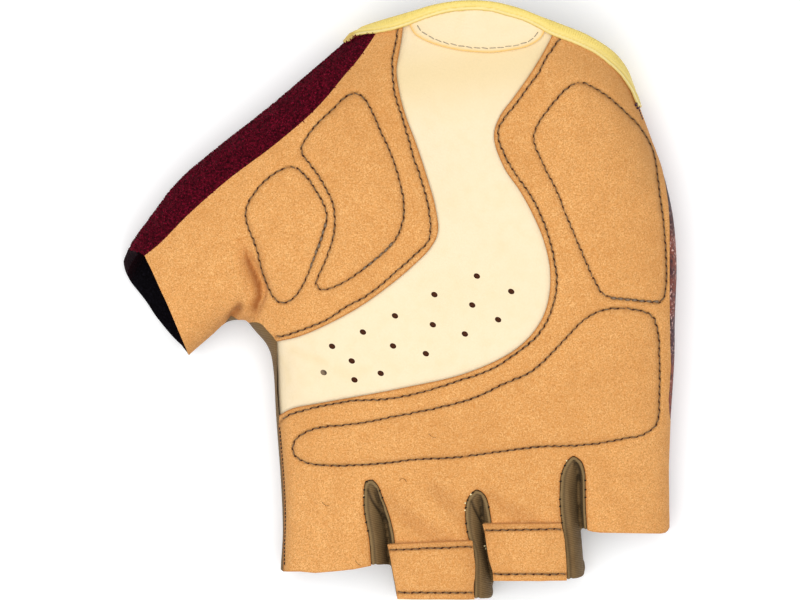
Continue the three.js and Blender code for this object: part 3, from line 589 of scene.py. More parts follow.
def puffed(form):
    """How far air under the palm lifts it between the sewn lines: cloth under pressure, held
    at the seams and stiff outside them. Gives points of the palm and how far each rose."""
    blank = remeshed(twin(form, "blank"), BLANK_VOXEL, 2)
    start = coords(blank)
    plan = start[:, :2]
    free = np.zeros(len(start))
    for line in SEAMS.values():
        away, _ = along(line, plan, closed=True)
        free = np.maximum(free, inside(line, plan) * ramp(away, 0.6, 2.0))
    free *= ramp(normals(blank)[:, 2], 0.1, 0.3)
    held = blank.vertex_groups.new(name="held")
    for index, share in enumerate(1 - free):
        held.add([index], float(share), "REPLACE")
    step = blank.modifiers.new("air", "CLOTH")
    step.settings.vertex_group_mass = "held"
    step.settings.pin_stiffness = 20
    step.settings.use_pressure = True
    step.settings.uniform_pressure_force = AIR_PRESSURE
    step.settings.effector_weights.gravity = 0
    step.settings.quality = 4
    step.point_cache.frame_start, step.point_cache.frame_end = 1, AIR_FRAMES
    for number in range(1, AIR_FRAMES + 1):
        bpy.context.scene.frame_set(number)
    bake(blank)
    rise = coords(blank)[:, 2] - start[:, 2]
    bpy.context.scene.frame_set(1)
    drop(blank)
    picked = free > 0.02
    return start[picked], rise[picked]


def lifted(blank, rise, points):
    """The lift at other points, from the nearest ones of the blank."""
    tree = KDTree(len(blank))
    for index, p in enumerate(blank):
        tree.insert(p, index)
    tree.balance()
    values = np.zeros(len(points))
    for k, p in enumerate(points):
        found = tree.find_n(p, 5)
        weights = np.array([1 / (d + 0.4) ** 2 for _, _, d in found])
        values[k] = np.dot(weights, [rise[i] for _, i, _ in found]) / weights.sum()
    return values


def relief(co, facing, air):
    """How far the palm side stands off the plain form: padded fields, sewn lines, creases."""
    plan = co[:, :2]
    rise = np.zeros(len(co))
    for name, line in SEAMS.items():
        away, run = along(line, plan, closed=True)
        within = inside(line, plan)
        crown = PAD_RISE[name] * (1 - np.exp(-away / 3.2))
        if air:
            reach = within & (away > 0.3) & (facing > 0)
            crown[reach] *= 0.45
            lift = np.zeros(len(co))
            lift[reach] = lifted(*air, co[reach])
            crown += 0.55 * PAD_RISE[name] * ramp(lift, 0, AIR_CAP) * (1 - np.exp(-away / 1.2))
        rise += within * crown
        rise -= 0.5 * bell(away, 0.75)
        pucker = np.sin(run * 1.35 + 2.0 * np.sin(run * 0.21)) * np.sin(run * 0.37 + 1.0)
        rise += 0.14 * pucker * bell(away, 2.4)
    for line in EDGES.values():
        away, run = along(line, plan)
        rise -= 0.42 * bell(away, 0.7)
        rise += 0.07 * np.sin(run * 1.5 + np.sin(run * 0.3)) * bell(away, 1.8)
    rise -= 0.3 * bell(near_lines(CUT_EDGES, plan), 0.5)
    rise -= valley(CREASES, plan)
    rise += 0.2 * bumpy(co, 9.0, 3) + 0.09 * bumpy(co, 3.6, 8)
    return rise * facing


form_points, form_normals, form_relief = {}, {}, {}
fine_form, coarse_form = mitt_form("fine_form", FINE), mitt_form("coarse_form", COARSE)
air = puffed(coarse_form)
for form in (fine_form, coarse_form):
    form_points[form.name], form_normals[form.name] = coords(form), normals(form)
    facing = ramp(form_normals[form.name][:, 2], -0.05, 0.35)
    form_relief[form.name] = relief(form_points[form.name], facing, air)


def skin(name, form, shift, share=1.0):
    """A copy of the form, swollen by a shift, with its relief."""
    lift = shift + share * form_relief[form.name]
    made = twin(form, name)
    return reshape(made, form_points[form.name] + form_normals[form.name] * lift[:, None])


# Regions to trim away.
form_tree = surface(fine_form)[0]


def height(x, y):
    """How high the plain form is at a place seen from above."""
    hit = form_tree.ray_cast(Vector((x, y, HIGH)) * MM, Vector((0, 0, -1)))[0]
    return hit.z / MM if hit else RIM_HEIGHT


def wedge(rows, shrink, below, steps=12):
    """The space between two fingers, its sides rounded over from the edges of the suede."""
    reach = UNDERSIDE_GAP["spread"] if below else 0
    half = SLIT_BETWEEN + CLOTH - shrink
    turn = np.linspace(0, math.pi / 2, steps)
    rings = []
    for y, left, right, slit, depth in rail(rows, np.linspace(0, 1, 60)):
        a = min((slit - reach if below else left) + shrink / 2, slit - 0.06)
        b = max((slit + reach if below else right) - shrink / 2, slit + 0.06)
        tip = UNDERSIDE_GAP["height"] - shrink if below else depth + shrink
        rims = [0 if below else height(x, y) - SHOULDER + shrink for x in (left, right)]
        far = -HIGH if below else HIGH
        to_left, to_right = max(a, slit - half), min(b, slit + half)
        down = [tip + (rims[0] - tip) * np.cos(turn), tip + (rims[1] - tip) * np.cos(turn)]
        walls = [(a + (to_left - a) * math.sin(t), z) for t, z in zip(turn, down[0])]
        walls += [(b + (to_right - b) * math.sin(t), z) for t, z in zip(turn[::-1], down[1][::-1])]
        rings.append([(x, y - shrink, z) for x, z in [(a, far), *walls, (b, far)]])
    return loft("wedge", rings)


def wedges(rows, shrink):
    return combine(wedge(rows, shrink, False), "UNION", wedge(rows[3:], shrink, True))


BEYOND_CUFF = [(95, 60), (95, 120), (-60, 120), (-60, 76)]
BEYOND_THUMB = (-95, -40)
BEYOND_FINGERS = [(80, -120), (-40, -120)]
BEYOND_TERRY = [(-20, 90), (-95, 90), BEYOND_THUMB, (-50, -40)]
CHANNEL_END = [(-31.9, -24), (-32, -17)]


def beyond(palm, back, far, grow=0.0):
    """What lies past a line that passes from the palm side's cut to the back's."""
    lines = smooth(OUTLINES[palm], step=0.5), smooth(OUTLINES[back], step=0.5)
    shares = np.linspace(0, 1, max(len(line) for line in lines))
    upper, lower = [
        np.stack([np.interp(shares, np.linspace(0, 1, len(line)), line[:, k]) for k in (0, 1)], axis=1)
        for line in lines
    ]
    rings = []
    for z in (-HIGH, BACK_CUT, *np.linspace(BACK_CUT, PALM_CUT, 7)[1:-1], PALM_CUT, HIGH):
        share = ramp(z, BACK_CUT, PALM_CUT - BACK_CUT)
        share = share * share * (3 - 2 * share)
        rings.append([(x, y, z) for x, y in inset([*(share * upper + (1 - share) * lower), *far], -grow)])
    return loft("beyond", rings)


def beyond_seam(grow=0.0):
    return beyond("cuff_seam", "cuff_seam_of_back", BEYOND_CUFF, grow)


def beyond_mouth():
    return beyond("mouth_of_palm", "mouth_of_back", [BEYOND_THUMB])


def beyond_fingers(grow=0.0):
    return prism(inset([*OUTLINES["finger_ends"], *BEYOND_FINGERS], -grow), -HIGH, HIGH)


channel_outer = smooth(OUTLINES["channel_outer"])
channel_inner = smooth(OUTLINES["channel_inner"])
palm_outline = [*channel_outer, *smooth(OUTLINES["index_side"]), *LITTLE_SIDE]
thumb_outline = [*channel_inner, *smooth(OUTLINES["terry_edge"]), *THUMB_CROTCH]
channel_outline = [*channel_outer, *CHANNEL_END, *channel_inner]
terry_region = [*TERRY_BACK_EDGE, *BEYOND_TERRY]


def region(points, grow, low=PARTING, high=HIGH):
    return prism(inset(points, -grow), low, high)


# Materials.
def linear(code):
    """An sRGB hex colour as linear light."""
    parts = [int(code[i : i + 2], 16) / 255 for i in (0, 2, 4)]
    return (*[c / 12.92 if c <= 0.04045 else ((c + 0.055) / 1.055) ** 2.4 for c in parts], 1)


def per(mm):
    """The scale of a pattern whose features are so many millimetres wide."""
    return 1000 / mm


def add(tree, kind, settings, links=None):
    """Adds a node with its settings and links, and gives its first output."""
    made = tree.nodes.new(kind)
    for key, value in settings.items():
        if isinstance(key, int) or key in made.inputs:
            made.inputs[key].default_value = value
        else:
            setattr(made, key, value)
    for key, source in (links or {}).items():
        tree.links.new(source, made.inputs[key])
    return made.outputs[0]


NOISE, RANGE, MIX, MATH = (
    "ShaderNodeTexNoise", "ShaderNodeMapRange", "ShaderNodeMix", "ShaderNodeMath",
)
COLOUR_A, COLOUR_B, COLOUR_OUT = 6, 7, 2
INSIDE = "221d20"  # the inner faces of the panels are a dark brushed knit
RIB_PITCH = 0.6  # the ribs of the elastic, in millimetres
WAVE_SCALE = 0.314  # turns a wave's pitch into the node's scale


def blended(tree, share, first, second, most=1.0):
    """One colour turning into another by a share from 0 to 1."""
    if most != 1.0:
        share = add(tree, MATH, {"operation": "MULTIPLY", 1: most}, {0: share})
    settings, links = {"data_type": "RGBA"}, {0: share}
    for key, colour in ((COLOUR_A, first), (COLOUR_B, second)):
        if isinstance(colour, str):
            settings[key] = linear(colour)
        else:
            links[key] = colour
    return add(tree, MIX, settings, links).node.outputs[COLOUR_OUT]


def finish(name, roughness, sheen=0.0, sheen_tint="ffffff"):
    """An empty fibrous finish: its material, node tree, shader and object coordinates."""
    material = bpy.data.materials.new(name)
    material.use_nodes = True
    tree = material.node_tree
    shader = tree.nodes["Principled BSDF"]
    for key, value in (
        ("Roughness", roughness), ("IOR", 1.46), ("Specular IOR Level", 0.25), ("Sheen Weight", sheen),
        ("Sheen Roughness", 0.5), ("Sheen Tint", linear(sheen_tint)),
    ):
        shader.inputs[key].default_value = value
    where = tree.nodes.new("ShaderNodeTexCoord").outputs["Object"]
    return material, tree, shader, where


def grained(tree, where, size, low, high, detail=3.0, rough=0.6):
    """Noise of a given size, stretched so that low to high becomes 0 to 1."""
    wave = add(tree, NOISE, {"Scale": per(size), "Detail": detail, "Roughness": rough}, {"Vector": where})
    return add(tree, RANGE, {"From Min": low, "From Max": high}, {"Value": wave})


def painted(tree, name):
    """A value that was worked out for each point of the piece."""
    return add(tree, "ShaderNodeAttribute", {"attribute_name": name}).node.outputs["Fac"]


def layered(tree, where, colour, layers):
    """Lays colours over a first one. Each layer has its colour, how much of it shows, and where:
    by a value painted on the piece, a noise's size and limits, or a node."""
    for over, most, share in layers:
        if isinstance(share, str):
            share = painted(tree, share)
        elif isinstance(share, tuple):
            share = grained(tree, where, *share)
        colour = blended(tree, share, colour, over, most)
    return colour


def coloured(tree, shader, colour, height=None, depth_mm=0.0):
    """Gives a shader its colour, and bumps of a depth in millimetres."""
    tree.links.new(colour, shader.inputs["Base Color"])
    if height is not None:
        bumps = add(tree, "ShaderNodeBump", {"Strength": 1.0, "Distance": depth_mm * MM}, {"Height": height})
        tree.links.new(bumps, shader.inputs["Normal"])


def suede(name, light, body, dark, seam, edge, wear_and_shade, crease_shade):
    """Split leather, brushed: short fibres give a sandy grain of 0.4 mm and no gloss."""
    material, tree, shader, where = finish(name, 0.93, 0.06, "ffe2bd")
    grain = grained(tree, where, 0.38, 0.4, 0.6, 3.0, 0.9)
    # Painted values darken the grain: mostly painted shade on steep sides and in folds, with some smudging;
    # painted shade in the creases; darker seams, the nap pressed down with painted shade of the grooves; and
    # painted shade along the cut edges.
    colour = layered(tree, where, dark, [
        (light, 1, grain), (body, 0.45, (0.9, 0.35, 0.65, 1.0)), (edge, 0.4, (0.7, 0.66, 0.74, 1.0)),
        (dark, 0.25, (5.0, 0.4, 0.7)), (dark, 0.2, (30.0, 0.35, 0.7, 1.0)),
        (wear_and_shade, 0.55, "wear_and_shade"), (crease_shade, 0.88, "crease_shade"), (seam, 0.7, "sewn"), (edge, 0.85, "edge"),
        (INSIDE, 1, "inside"),
    ])
    coloured(tree, shader, colour, grain, 0.06)
    return material


def knit(name, light, dark, edge_shade, size, depth):
    """Fine warp knit: even and matt, with hardly visible ribs."""
    material, tree, shader, where = finish(name, 0.85, 0.05, "fff8e8")
    yarn = grained(tree, where, size, 0.3, 0.7, 2.0)
    # Painted values darken the knit: mostly painted shade near the top and in faint folds, with some grey
    # mottling; and in the edge colour, painted shade in the vent holes and along the patch's cut edge.
    colour = layered(tree, where, light, [
        (dark, 0.15, yarn), (dark, 0.15, (12.0, 0.35, 0.7, 2.0)), (dark, 0.2, (3.0, 0.45, 0.75, 4.0)),
        (dark, 1, "wear_and_shade"), (edge_shade, 1, "edge"), (INSIDE, 1, "inside"),
    ])
    coloured(tree, shader, colour, yarn, depth)
    return material


def pile(name, tip, body, root, size, depth):
    """Looped terry: tips catch the light and gaps between loops are nearly black."""
    material, tree, shader, where = finish(name, 1.0, 0.06, "b0304f")
    shader.inputs["Specular IOR Level"].default_value = 0.08
    loops = grained(tree, where, size, 0.35, 0.66, 2.0)
    colour = layered(tree, where, root, [
        (body, 1, loops), (tip, 0.7, (size * 0.7, 0.58, 0.75, 1.0)), (root, 0.3, (5.0, 0.35, 0.7, 2.0)),
        (tip, 0.75, "tip"), (root, 0.7, "root"), (INSIDE, 1, "inside"),
    ])
    coloured(tree, shader, colour, loops, depth)
    return material


def twill(name, light, dark, shade, pitch, slant):
    """Diagonal weave in a stretch yarn, drawn at 0.55 mm so that it shows."""
    material, tree, shader, where = finish(name, 0.75, 0.05, "c9bfa0")
    turned = add(tree, "ShaderNodeMapping", {"Rotation": slant}, {"Vector": where})
    lines = add(
        tree, "ShaderNodeTexWave",
        {"wave_type": "BANDS", "bands_direction": "Y", "Scale": WAVE_SCALE * per(pitch), "Distortion": 0.6,
         "Detail": 1.0, "Detail Scale": 2.0},
        {"Vector": turned},
    )
    # The fold value adds painted shade in the folds and the sunk seam; the edge value makes the rims at the
    # top paler, a painted highlight.
    colour = layered(tree, where, dark, [
        (light, 0.35, lines), (light, 0.25, (3.0, 0.3, 0.75, 2.0)), (light, 0.6, "edge"),
        (shade, 0.9, "fold"), (INSIDE, 1, "inside"),
    ])
    coloured(tree, shader, colour, lines, 0.08)
    return material


def printed(name, ground, bloom, speck, night):
    """Printed stretch cloth for the back: plum ground, rust clouds and pale flecks."""
    material, tree, shader, where = finish(name, 0.7, 0.03)
    fleck = grained(tree, where, 0.9, 0.54, 0.63, 2.0)
    drift = grained(tree, where, 7.0, 0.4, 0.55, 1.0)
    fleck = add(tree, MATH, {"operation": "MULTIPLY"}, {0: fleck, 1: drift})
    # The edge value darkens the back with painted shade along its steep right side.
    colour = layered(tree, where, ground, [
        (bloom, 1, (10.0, 0.42, 0.55)), (speck, 1, fleck), (night, 0.8, (1.2, 0.56, 0.62, 2.0)),
        (night, 1, "edge"), (INSIDE, 1, "inside"),
    ])
    coloured(tree, shader, colour, grained(tree, where, 0.45, 0.3, 0.7), 0.06)
    return material


def elastic(name, light, body, dark):
    """Ribbed elastic tape: smooth spandex with cross ribs and a faint shine."""
    material, tree, shader, where = finish(name, 0.6, 0.05, "fff6c8")
    yarn = grained(tree, where, 0.5, 0.3, 0.7, 2.0)
    turn = add(tree, MATH, {"operation": "MULTIPLY", 1: 2 * math.pi / RIB_PITCH}, {0: painted(tree, "run")})
    rib = add(tree, MATH, {"operation": "SINE"}, {0: turn})
    rib = add(tree, MATH, {"operation": "MULTIPLY"}, {0: rib, 1: painted(tree, "ribbed")})
    # The lip value is a painted highlight on the rolled lip and the ridge between the sunk rows; the edge
    # value is painted shadow under the lip and painted shade in a groove, with a smudge.
    colour = layered(tree, where, body, [
        (dark, 0.3, yarn), (dark, 0.08, rib), (light, 1, "lip"), (dark, 1, "edge"),
    ])
    coloured(tree, shader, colour, rib, 0.05)
    return material


def thread(name, body, dark):
    """Twisted polyester thread, greyed, with painted shade darkening it where it goes into the needle holes.
    """
    material, tree, shader, where = finish(name, 0.6)
    coloured(tree, shader, layered(tree, where, body, [(dark, 1, "end")]))
    return material


FINISHES = {
    "suede": suede("brushed_suede", "ffc782", "eda65c", "cb8641", "6f431d", "b0692c", "c08a4f", "904d1c"),
    "stretch": knit("cream_stretch_knit", "f1dfbd", "e7cf9e", "45200a", 0.5, 0.05),
    "patch": knit("cream_patch_knit", "f1deb8", "ecd3a2", "edbd66", 0.5, 0.05),
    "terry": pile("maroon_terry", "a5183c", "650a1e", "2a020a", 0.75, 0.4),
    "lining": pile("black_brushed_lining", "1e1b24", "0d0c11", "050406", 0.6, 0.2),
    "twill": twill("olive_stretch_twill", "917850", "694f2f", "1f170c", 0.55, (0, 0, 0.25)),
    "print": printed("printed_back", "4a2730", "84402f", "e2b5aa", "2a151b"),
    "binding": elastic("yellow_elastic", "f8e8a8", "efd87c", "cfa944"),
    "thread": thread("grey_thread", "846b4d", "331a0d"),
    "worn_thread": thread("worn_grey_thread", "8a7660", "4e3d2b"),
    "yellow_thread": thread("pale_yellow_thread", "fff0c0", "d8c084"),
    "fibre": thread("dark_fibre", "5a3412", "5a3412"),
    "needle_hole_shadow": thread("needle_hole_shadow", "3f1e0d", "3f1e0d"),
    "pale_thread": thread("pale_grey_thread", "b9ab95", "84765f"),
    "plum_thread": thread("plum_thread", "4d2b40", "24101e"),
    "black_thread": thread("black_thread", "241a12", "0f0a07"),
    "foam": knit("pale_foam", "ece6d6", "cfc6b0", "b0a890", 0.8, 0.15),
}


def done(obj, finish_name, node, sharp=38):
    """Gives a piece its finish and smooth shading, hangs it on the root body and hides the CAD part that it
    stands for.
    """
    obj.data.materials.clear()
    obj.data.materials.append(FINISHES[finish_name])
    obj.data.shade_smooth()
    obj.data.set_sharp_from_angle(angle=math.radians(sharp))
    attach(obj, "root")
    if node:
        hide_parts(node)
    return obj


PIECES = {}


def keep(obj, name, finish_name, node, sharp=38):
    obj.name = obj.data.name = name
    PIECES[name] = done(obj, finish_name, node, sharp)
    return obj


# The cloth and suede pieces, cut from shells between two skins of the form.
def shell(outer, inner):
    """What lies between two skins, each a form, its shift and its share of the relief."""
    return combine(skin("outer", *outer), "DIFFERENCE", skin("inner", *inner))


def trimmed(obj):
    """Opens the cuff, the thumb's mouth, the fingertips and the gaps between the fingers."""
    for rows in FINGER_GAPS.values():
        combine(obj, "DIFFERENCE", wedges(rows, -0.12))
    return combine(obj, "DIFFERENCE", beyond_seam(-0.2), beyond_fingers(), beyond_mouth())


HAIR = 0.02  # each of two panels ends this far from the line between them
GUSSET_LOW, GUSSET_GAP_LOW = 4.9, 4.87  # where the gusset ends, and the space for it in the back
HEM_WIDTH, HEM_TOP = 2.2, PARTING + 1.5  # the lining's hem, folded out round the back of the mouth
suede_shell = trimmed(shell((fine_form, 0.0), (fine_form, -SUEDE)))
cloth_shell = trimmed(shell((fine_form, -0.05), (coarse_form, -WALL, 0.6)))

palm_suede = combine(twin(suede_shell, "palm"), "INTERSECT", region(palm_outline, -HAIR))
thumb_suede = combine(twin(suede_shell, "thumb"), "INTERSECT", region(thumb_outline, -HAIR))

palm_side = region(palm_outline, HAIR, PARTING - 0.05)
for outline in (thumb_outline, channel_outline):
    combine(palm_side, "UNION", region(outline, HAIR, PARTING - 0.05))
rest = combine(twin(cloth_shell, "rest"), "DIFFERENCE", palm_side)
gusset = combine(twin(rest, "gusset"), "INTERSECT", region(GUSSET_REGION, 0.1, GUSSET_LOW))
combine(rest, "DIFFERENCE", region(GUSSET_REGION, 0.13, GUSSET_GAP_LOW))
terry = combine(twin(rest, "terry"), "INTERSECT", region(terry_region, -HAIR, -HIGH))
back = combine(rest, "DIFFERENCE", region(terry_region, HAIR, -HIGH))
hem_line = inset([*smooth(OUTLINES["mouth_of_back"]), BEYOND_THUMB], -HEM_WIDTH)
combine(terry, "DIFFERENCE", prism(hem_line, -HIGH, PARTING + 1.6))

stretch = trimmed(shell((fine_form, -SUEDE - 0.04), (fine_form, -WALL)))
channel = combine(stretch, "INTERSECT", region(channel_outline, 2.2))
HOLE_TURN = Matrix.Rotation(math.radians(-28), 3, "Z")
HOLE_RADIUS = 0.8
HOLE_DEPTH = 0.55
cloth_top = surface(channel)
hole_tops = [land(cloth_top, x, y)[0].z / MM for x, y in VENT_HOLES]
for (x, y), top in zip(VENT_HOLES, hole_tops):
    bm = bmesh.new()
    bmesh.ops.create_cone(
        bm, cap_ends=True, segments=18, radius1=HOLE_RADIUS * MM, radius2=HOLE_RADIUS * MM, depth=HIGH * MM,
    )
    bmesh.ops.scale(bm, vec=(1.1, 0.85, 1), verts=bm.verts)
    bmesh.ops.rotate(bm, matrix=HOLE_TURN, verts=bm.verts)
    bmesh.ops.translate(bm, vec=Vector((x, y, top - HOLE_DEPTH + HIGH / 2)) * MM, verts=bm.verts)
    combine(channel, "DIFFERENCE", place("pin", bm))

patch_outline = smooth(OUTLINES["heel_patch"])
patch = shell((fine_form, -HAIR), (fine_form, -0.75))
combine(patch, "INTERSECT", region(patch_outline, 0))
combine(patch, "DIFFERENCE", beyond_seam(-0.2))


def marked(obj, name, lines, width, closed=False, most=1.0):
    """Paints a piece by how near it is to some lines."""
    value = most * bell(near_lines(lines, coords(obj)[:, :2], closed, 3 * width), width)
    layer = obj.data.attributes.get(name)
    if layer:
        before = np.empty(len(obj.data.vertices), np.float32)
        layer.data.foreach_get("value", before)
        layer.data.foreach_set("value", np.maximum(before, value).astype(np.float32))
    else:
        paint(obj, name, value)


def shaded(obj, line, soft, sharp):
    """Paints shade into a valley that falls in gently from its left and rises steeply on its right."""
    points = coords(obj)[:, :2]
    away, run = along(line, points)
    right = points[:, 0] > np.interp(points[:, 1], line[::-1, 1], line[::-1, 0])
    fade = np.clip(np.minimum(run / 5, (len(line) - run) / 3), 0, 1)
    width = np.where(right, sharp, 0.5 + soft * ramp(run, 0, 12))
    paint(obj, "crease_shade", fade * bell(away, width))


folds = [smooth(line) for _, _, line in CREASES[:7]]
for piece in (palm_suede, thumb_suede):
    # Darker along the stitch lines: the nap pressed down by the seams, with painted shade of the sunk
    # grooves.
    marked(piece, "sewn", SEAMS.values(), 0.33, True)
    marked(piece, "sewn", EDGES.values(), 0.33)
    shaded(piece, folds[0], 1.3, 0.5)
    # Painted on the suede: shade in the small creases and folds; a darker line at the cut edges and the
    # fingertips, painted shade of the rounded edge; darker bands along the index finger's side and over the
    # steep upper right of the heel pad, painted shade of the steep sides with some grey smudging along the
    # index finger; and a faint darker band at the top of the thenar pad.
    for kind, lines, width, most in (
        ("crease_shade", folds[2:3], 1.1, 0.8), ("crease_shade", folds[3:4], 1.1, 0.3), ("crease_shade", folds[4:], 2.2, 0.22),
        ("edge", CUT_EDGES, 0.3, 1), ("wear_and_shade", [smooth(OUTLINES["index_side"])], 1.6, 1),
        ("wear_and_shade", [smooth([(44, 64), (52, 60), (59, 53), (64, 43), (67, 35)])], 7.0, 0.75),
        ("wear_and_shade", [smooth([(-14, 58), (-8, 61), (-4, 60)])], 8.0, 0.35),
        ("edge", [smooth(OUTLINES["finger_ends"])], 0.25, 0.5),
    ):
        marked(piece, kind, lines, width, most=most)
# Painted on the cream, the patch and the back: a darker band near the top of the cream, painted shade with
# some grey mottling, and darker lines along faint folds in it, painted shade; a darker line round the
# patch's cut edge, painted shade, with a wider faint darker band beside it; and a darker strip on the back
# along its steep right side, painted shade.
for piece, kind, line, width, most in (
    (channel, "wear_and_shade", [(0, 58), (36, 62)], 9.0, 0.8),
    (channel, "wear_and_shade", smooth([(-28, -13.2), (-24, -14.6), (-19.3, -16.3)]), 1.3, 0.35),
    (channel, "wear_and_shade", smooth([(-31, -15), (-29.6, -17.5), (-28.8, -21)]), 0.9, 0.3),
    (channel, "wear_and_shade", smooth([(-16, -17.5), (-12.5, -19.4), (-9, -18)]), 1.5, 0.25),
    (patch, "edge", patch_outline, 0.45, 1),
    (patch, "wear_and_shade", patch_outline, 2.0, 0.5),
    (back, "edge", [(68, 36), (69.6, 30), (70.6, 25)], 1.6, 1),
    (back, "edge", [(70, 27), (71, 20)], 3.5, 0.6),
):
    marked(piece, kind, [np.array(line, float)], width, most=most)

outer_skin = skin("outer_skin", fine_form, 0.0)
outer_tree = surface(outer_skin)[0]
drop(outer_skin)
for piece, depth in (
    (palm_suede, SUEDE), (thumb_suede, SUEDE), (channel, WALL), (terry, WALL), (gusset, WALL), (back, WALL),
):
    points = coords(piece)
    sunk = np.array([outer_tree.find_nearest(Vector(p) * MM)[3] / MM for p in points])
    paint(piece, "inside", ramp(sunk, (0.94 if piece is channel else 0.75) * depth, 0.1))
    if piece is channel:
        # Painted shade in the vent holes: points of the walls and below near a hole are darkened, the last
        # hole a little less.
        away = np.array([np.hypot(*(points[:, :2] - h).T) for h in VENT_HOLES])
        hole_shade_share = np.where(away.argmin(axis=0) == len(VENT_HOLES) - 1, 0.8, 1)
        paint(piece, "edge", hole_shade_share * (away.min(axis=0) < 0.95) * (sunk > SUEDE + 0.13))

keep(palm_suede, "palm_suede_panel", "suede", "palm_suede")
keep(thumb_suede, "thumb_suede_panel", "suede", "thumb_suede")
keep(channel, "stretch_channel", "stretch", "palm_channel")
keep(patch, "wrist_patch", "patch", "heel_patch")
keep(terry, "terry_thumb_back", "terry", "thumb_terry")
keep(gusset, "olive_thumb_gusset", "twill", "thumb_gusset")
keep(back, "printed_back_panel", "print", "back_panel")
drop(suede_shell, cloth_shell)

FOLD_LINES = [smooth(line) for line in GAP_FOLDS]
for name, rows in FINGER_GAPS.items():
    cloth = combine(wedges(rows, 0), "DIFFERENCE", wedges(rows, CLOTH))
    combine(cloth, "INTERSECT", skin("limit", fine_form, -0.2))
    combine(cloth, "DIFFERENCE", beyond_fingers(0.1))
    remeshed(cloth, 0.34, 3)
    points = coords(cloth)
    upper = ramp(points[:, 2], 12, 3)
    folds = bell(near_lines(FOLD_LINES, points[:, :2]), 0.36) * upper
    sides = near_lines(GAP_SIDES, points[:, :2])
    seam = bell(sides - 1.05, 0.3) * upper
    reshape(cloth, points - normals(cloth) * (0.5 * folds + 0.25 * seam)[:, None])
    # Painted shade in the folds and in the seam's groove, and a painted highlight on the rims near the top.
    paint(cloth, "fold", np.maximum(0.85 * folds, 0.45 * seam))
    paint(cloth, "edge", np.clip((1.1 - sides) / 0.3, 0, 1) * upper)
    keep(cloth, name + "_strip", "twill", name, 70)

lining = shell((fine_form, -WALL - 0.05, 0.3), (coarse_form, -2.6, 0.3))
combine(lining, "INTERSECT", prism(LINING_REGION, -HIGH, PARTING + 2))
hem = shell((fine_form, -0.05, 0), (coarse_form, -WALL - 0.3, 0.3))
combine(hem, "INTERSECT", prism(inset(hem_line, 0.1), -HIGH, HEM_TOP))
combine(lining, "UNION", hem)
combine(lining, "DIFFERENCE", beyond_mouth())
keep(lining, "thumb_lining_cloth", "lining", "thumb_lining")

# The elastic binding, folded over the edge of the cuff and rounded, its lip on the panels.
binding = shell((fine_form, BINDING_SWELL, 0), (coarse_form, -2.4, 0))
combine(binding, "INTERSECT", beyond_seam(-0.3))
lip = shell((fine_form, BINDING_SWELL, 0), (fine_form, 0.1))
combine(lip, "INTERSECT", beyond_seam(0.15))
combine(binding, "UNION", lip)
combine(binding, "DIFFERENCE", beyond("cuff", "cuff_of_back", BEYOND_CUFF))
remeshed(binding, 0.36, 5)
points = coords(binding)
over = points[:, 2] > PARTING
away_palm, run_palm = along(smooth(OUTLINES["cuff_seam"]), points[:, :2])
away_back, run_back = along(smooth(OUTLINES["cuff_seam_of_back"]), points[:, :2])
away, run = np.where(over, away_palm, away_back), np.where(over, run_palm, run_back)
outside = ramp(normals(binding) @ np.array([0, 0.3, 1.0]), 0, 0.3) * over
GROOVES = (0.95, 1.75)  # where two rows of sewing sink in, from the panels
grooves = 0.3 * bell(away - GROOVES[0], 0.22) + 0.2 * bell(away - GROOVES[1], 0.22)
reshape(binding, points - normals(binding) * (grooves * outside)[:, None])
# Painted highlight on the rolled lip and on the ridge between the two sunk rows; painted shadow where the
# lip meets the panels and painted shade in the first groove, and a smudge of dirt.
paint(binding, "lip", np.clip((0.95 - away) / 0.2, 0, 1) * 0.8 + 0.3 * bell(away - 1.4, 0.3))
SMUDGE = np.array([(-14.2, 67.4), (-12.6, 68.9)])
smudge = 0.9 * bell(near_lines([SMUDGE], points[:, :2]), 1.1)
line = 0.8 * bell(away, 0.3) + 0.35 * bell(away - GROOVES[0], 0.2)
paint(binding, "edge", np.maximum(line, smudge))
paint(binding, "run", run)
paint(binding, "ribbed", ramp(away, 1.8, 0.3))
keep(binding, "elastic_cuff_binding", "binding", "cuff_binding", 60)

# Foam pads in their pockets behind the suede, with soft edges.
for name, outline in SEAMS.items():
    pad = shell((coarse_form, -SUEDE - 0.1, 0.9), (coarse_form, -3.4, 0.5))
    combine(pad, "INTERSECT", prism(inset(outline, 0.7), PARTING, HIGH))
    remeshed(pad, 0.8, 6)
    keep(pad, name + "_foam", "foam", name, 60)

# Pull tabs: a strip of suede held down by two seams and standing off the finger between.
TAB_FACES = (66, 44)
TAB_LIFT, TAB_ARCH, TAB_THICKNESS = 0.95, 0.9, 0.9
SEAM_FROM_TOP, SEAM_FROM_END, SEAM_WIDTH = 1.25, 1.7, 0.6


def finger_top(low, high):
    """A smooth surface over the top of a finger, fitted to where the suede lies."""
    below = surface(palm_suede)
    seats = []
    for x in np.linspace(low[0] + 3.5, high[0] - 1.5, 14):
        for y in np.linspace(low[1] + 0.6, high[1] + 1, 8):
            hit = land(below, x, y)
            if hit:
                seats.append((x, y, hit[0].z / MM))
    seats = np.array(seats)
    middle = (low + high) / 2

    def terms(x, y):
        u, w = (x - middle[0]) / 10, (y - middle[1]) / 10
        return np.stack([np.ones_like(u), u, u**2, u**4, w, w * u], axis=-1)

    fit = np.linalg.lstsq(terms(seats[:, 0], seats[:, 1]), seats[:, 2], rcond=None)[0]
    return lambda x, y: float(terms(np.array(x), np.array(y)) @ fit)


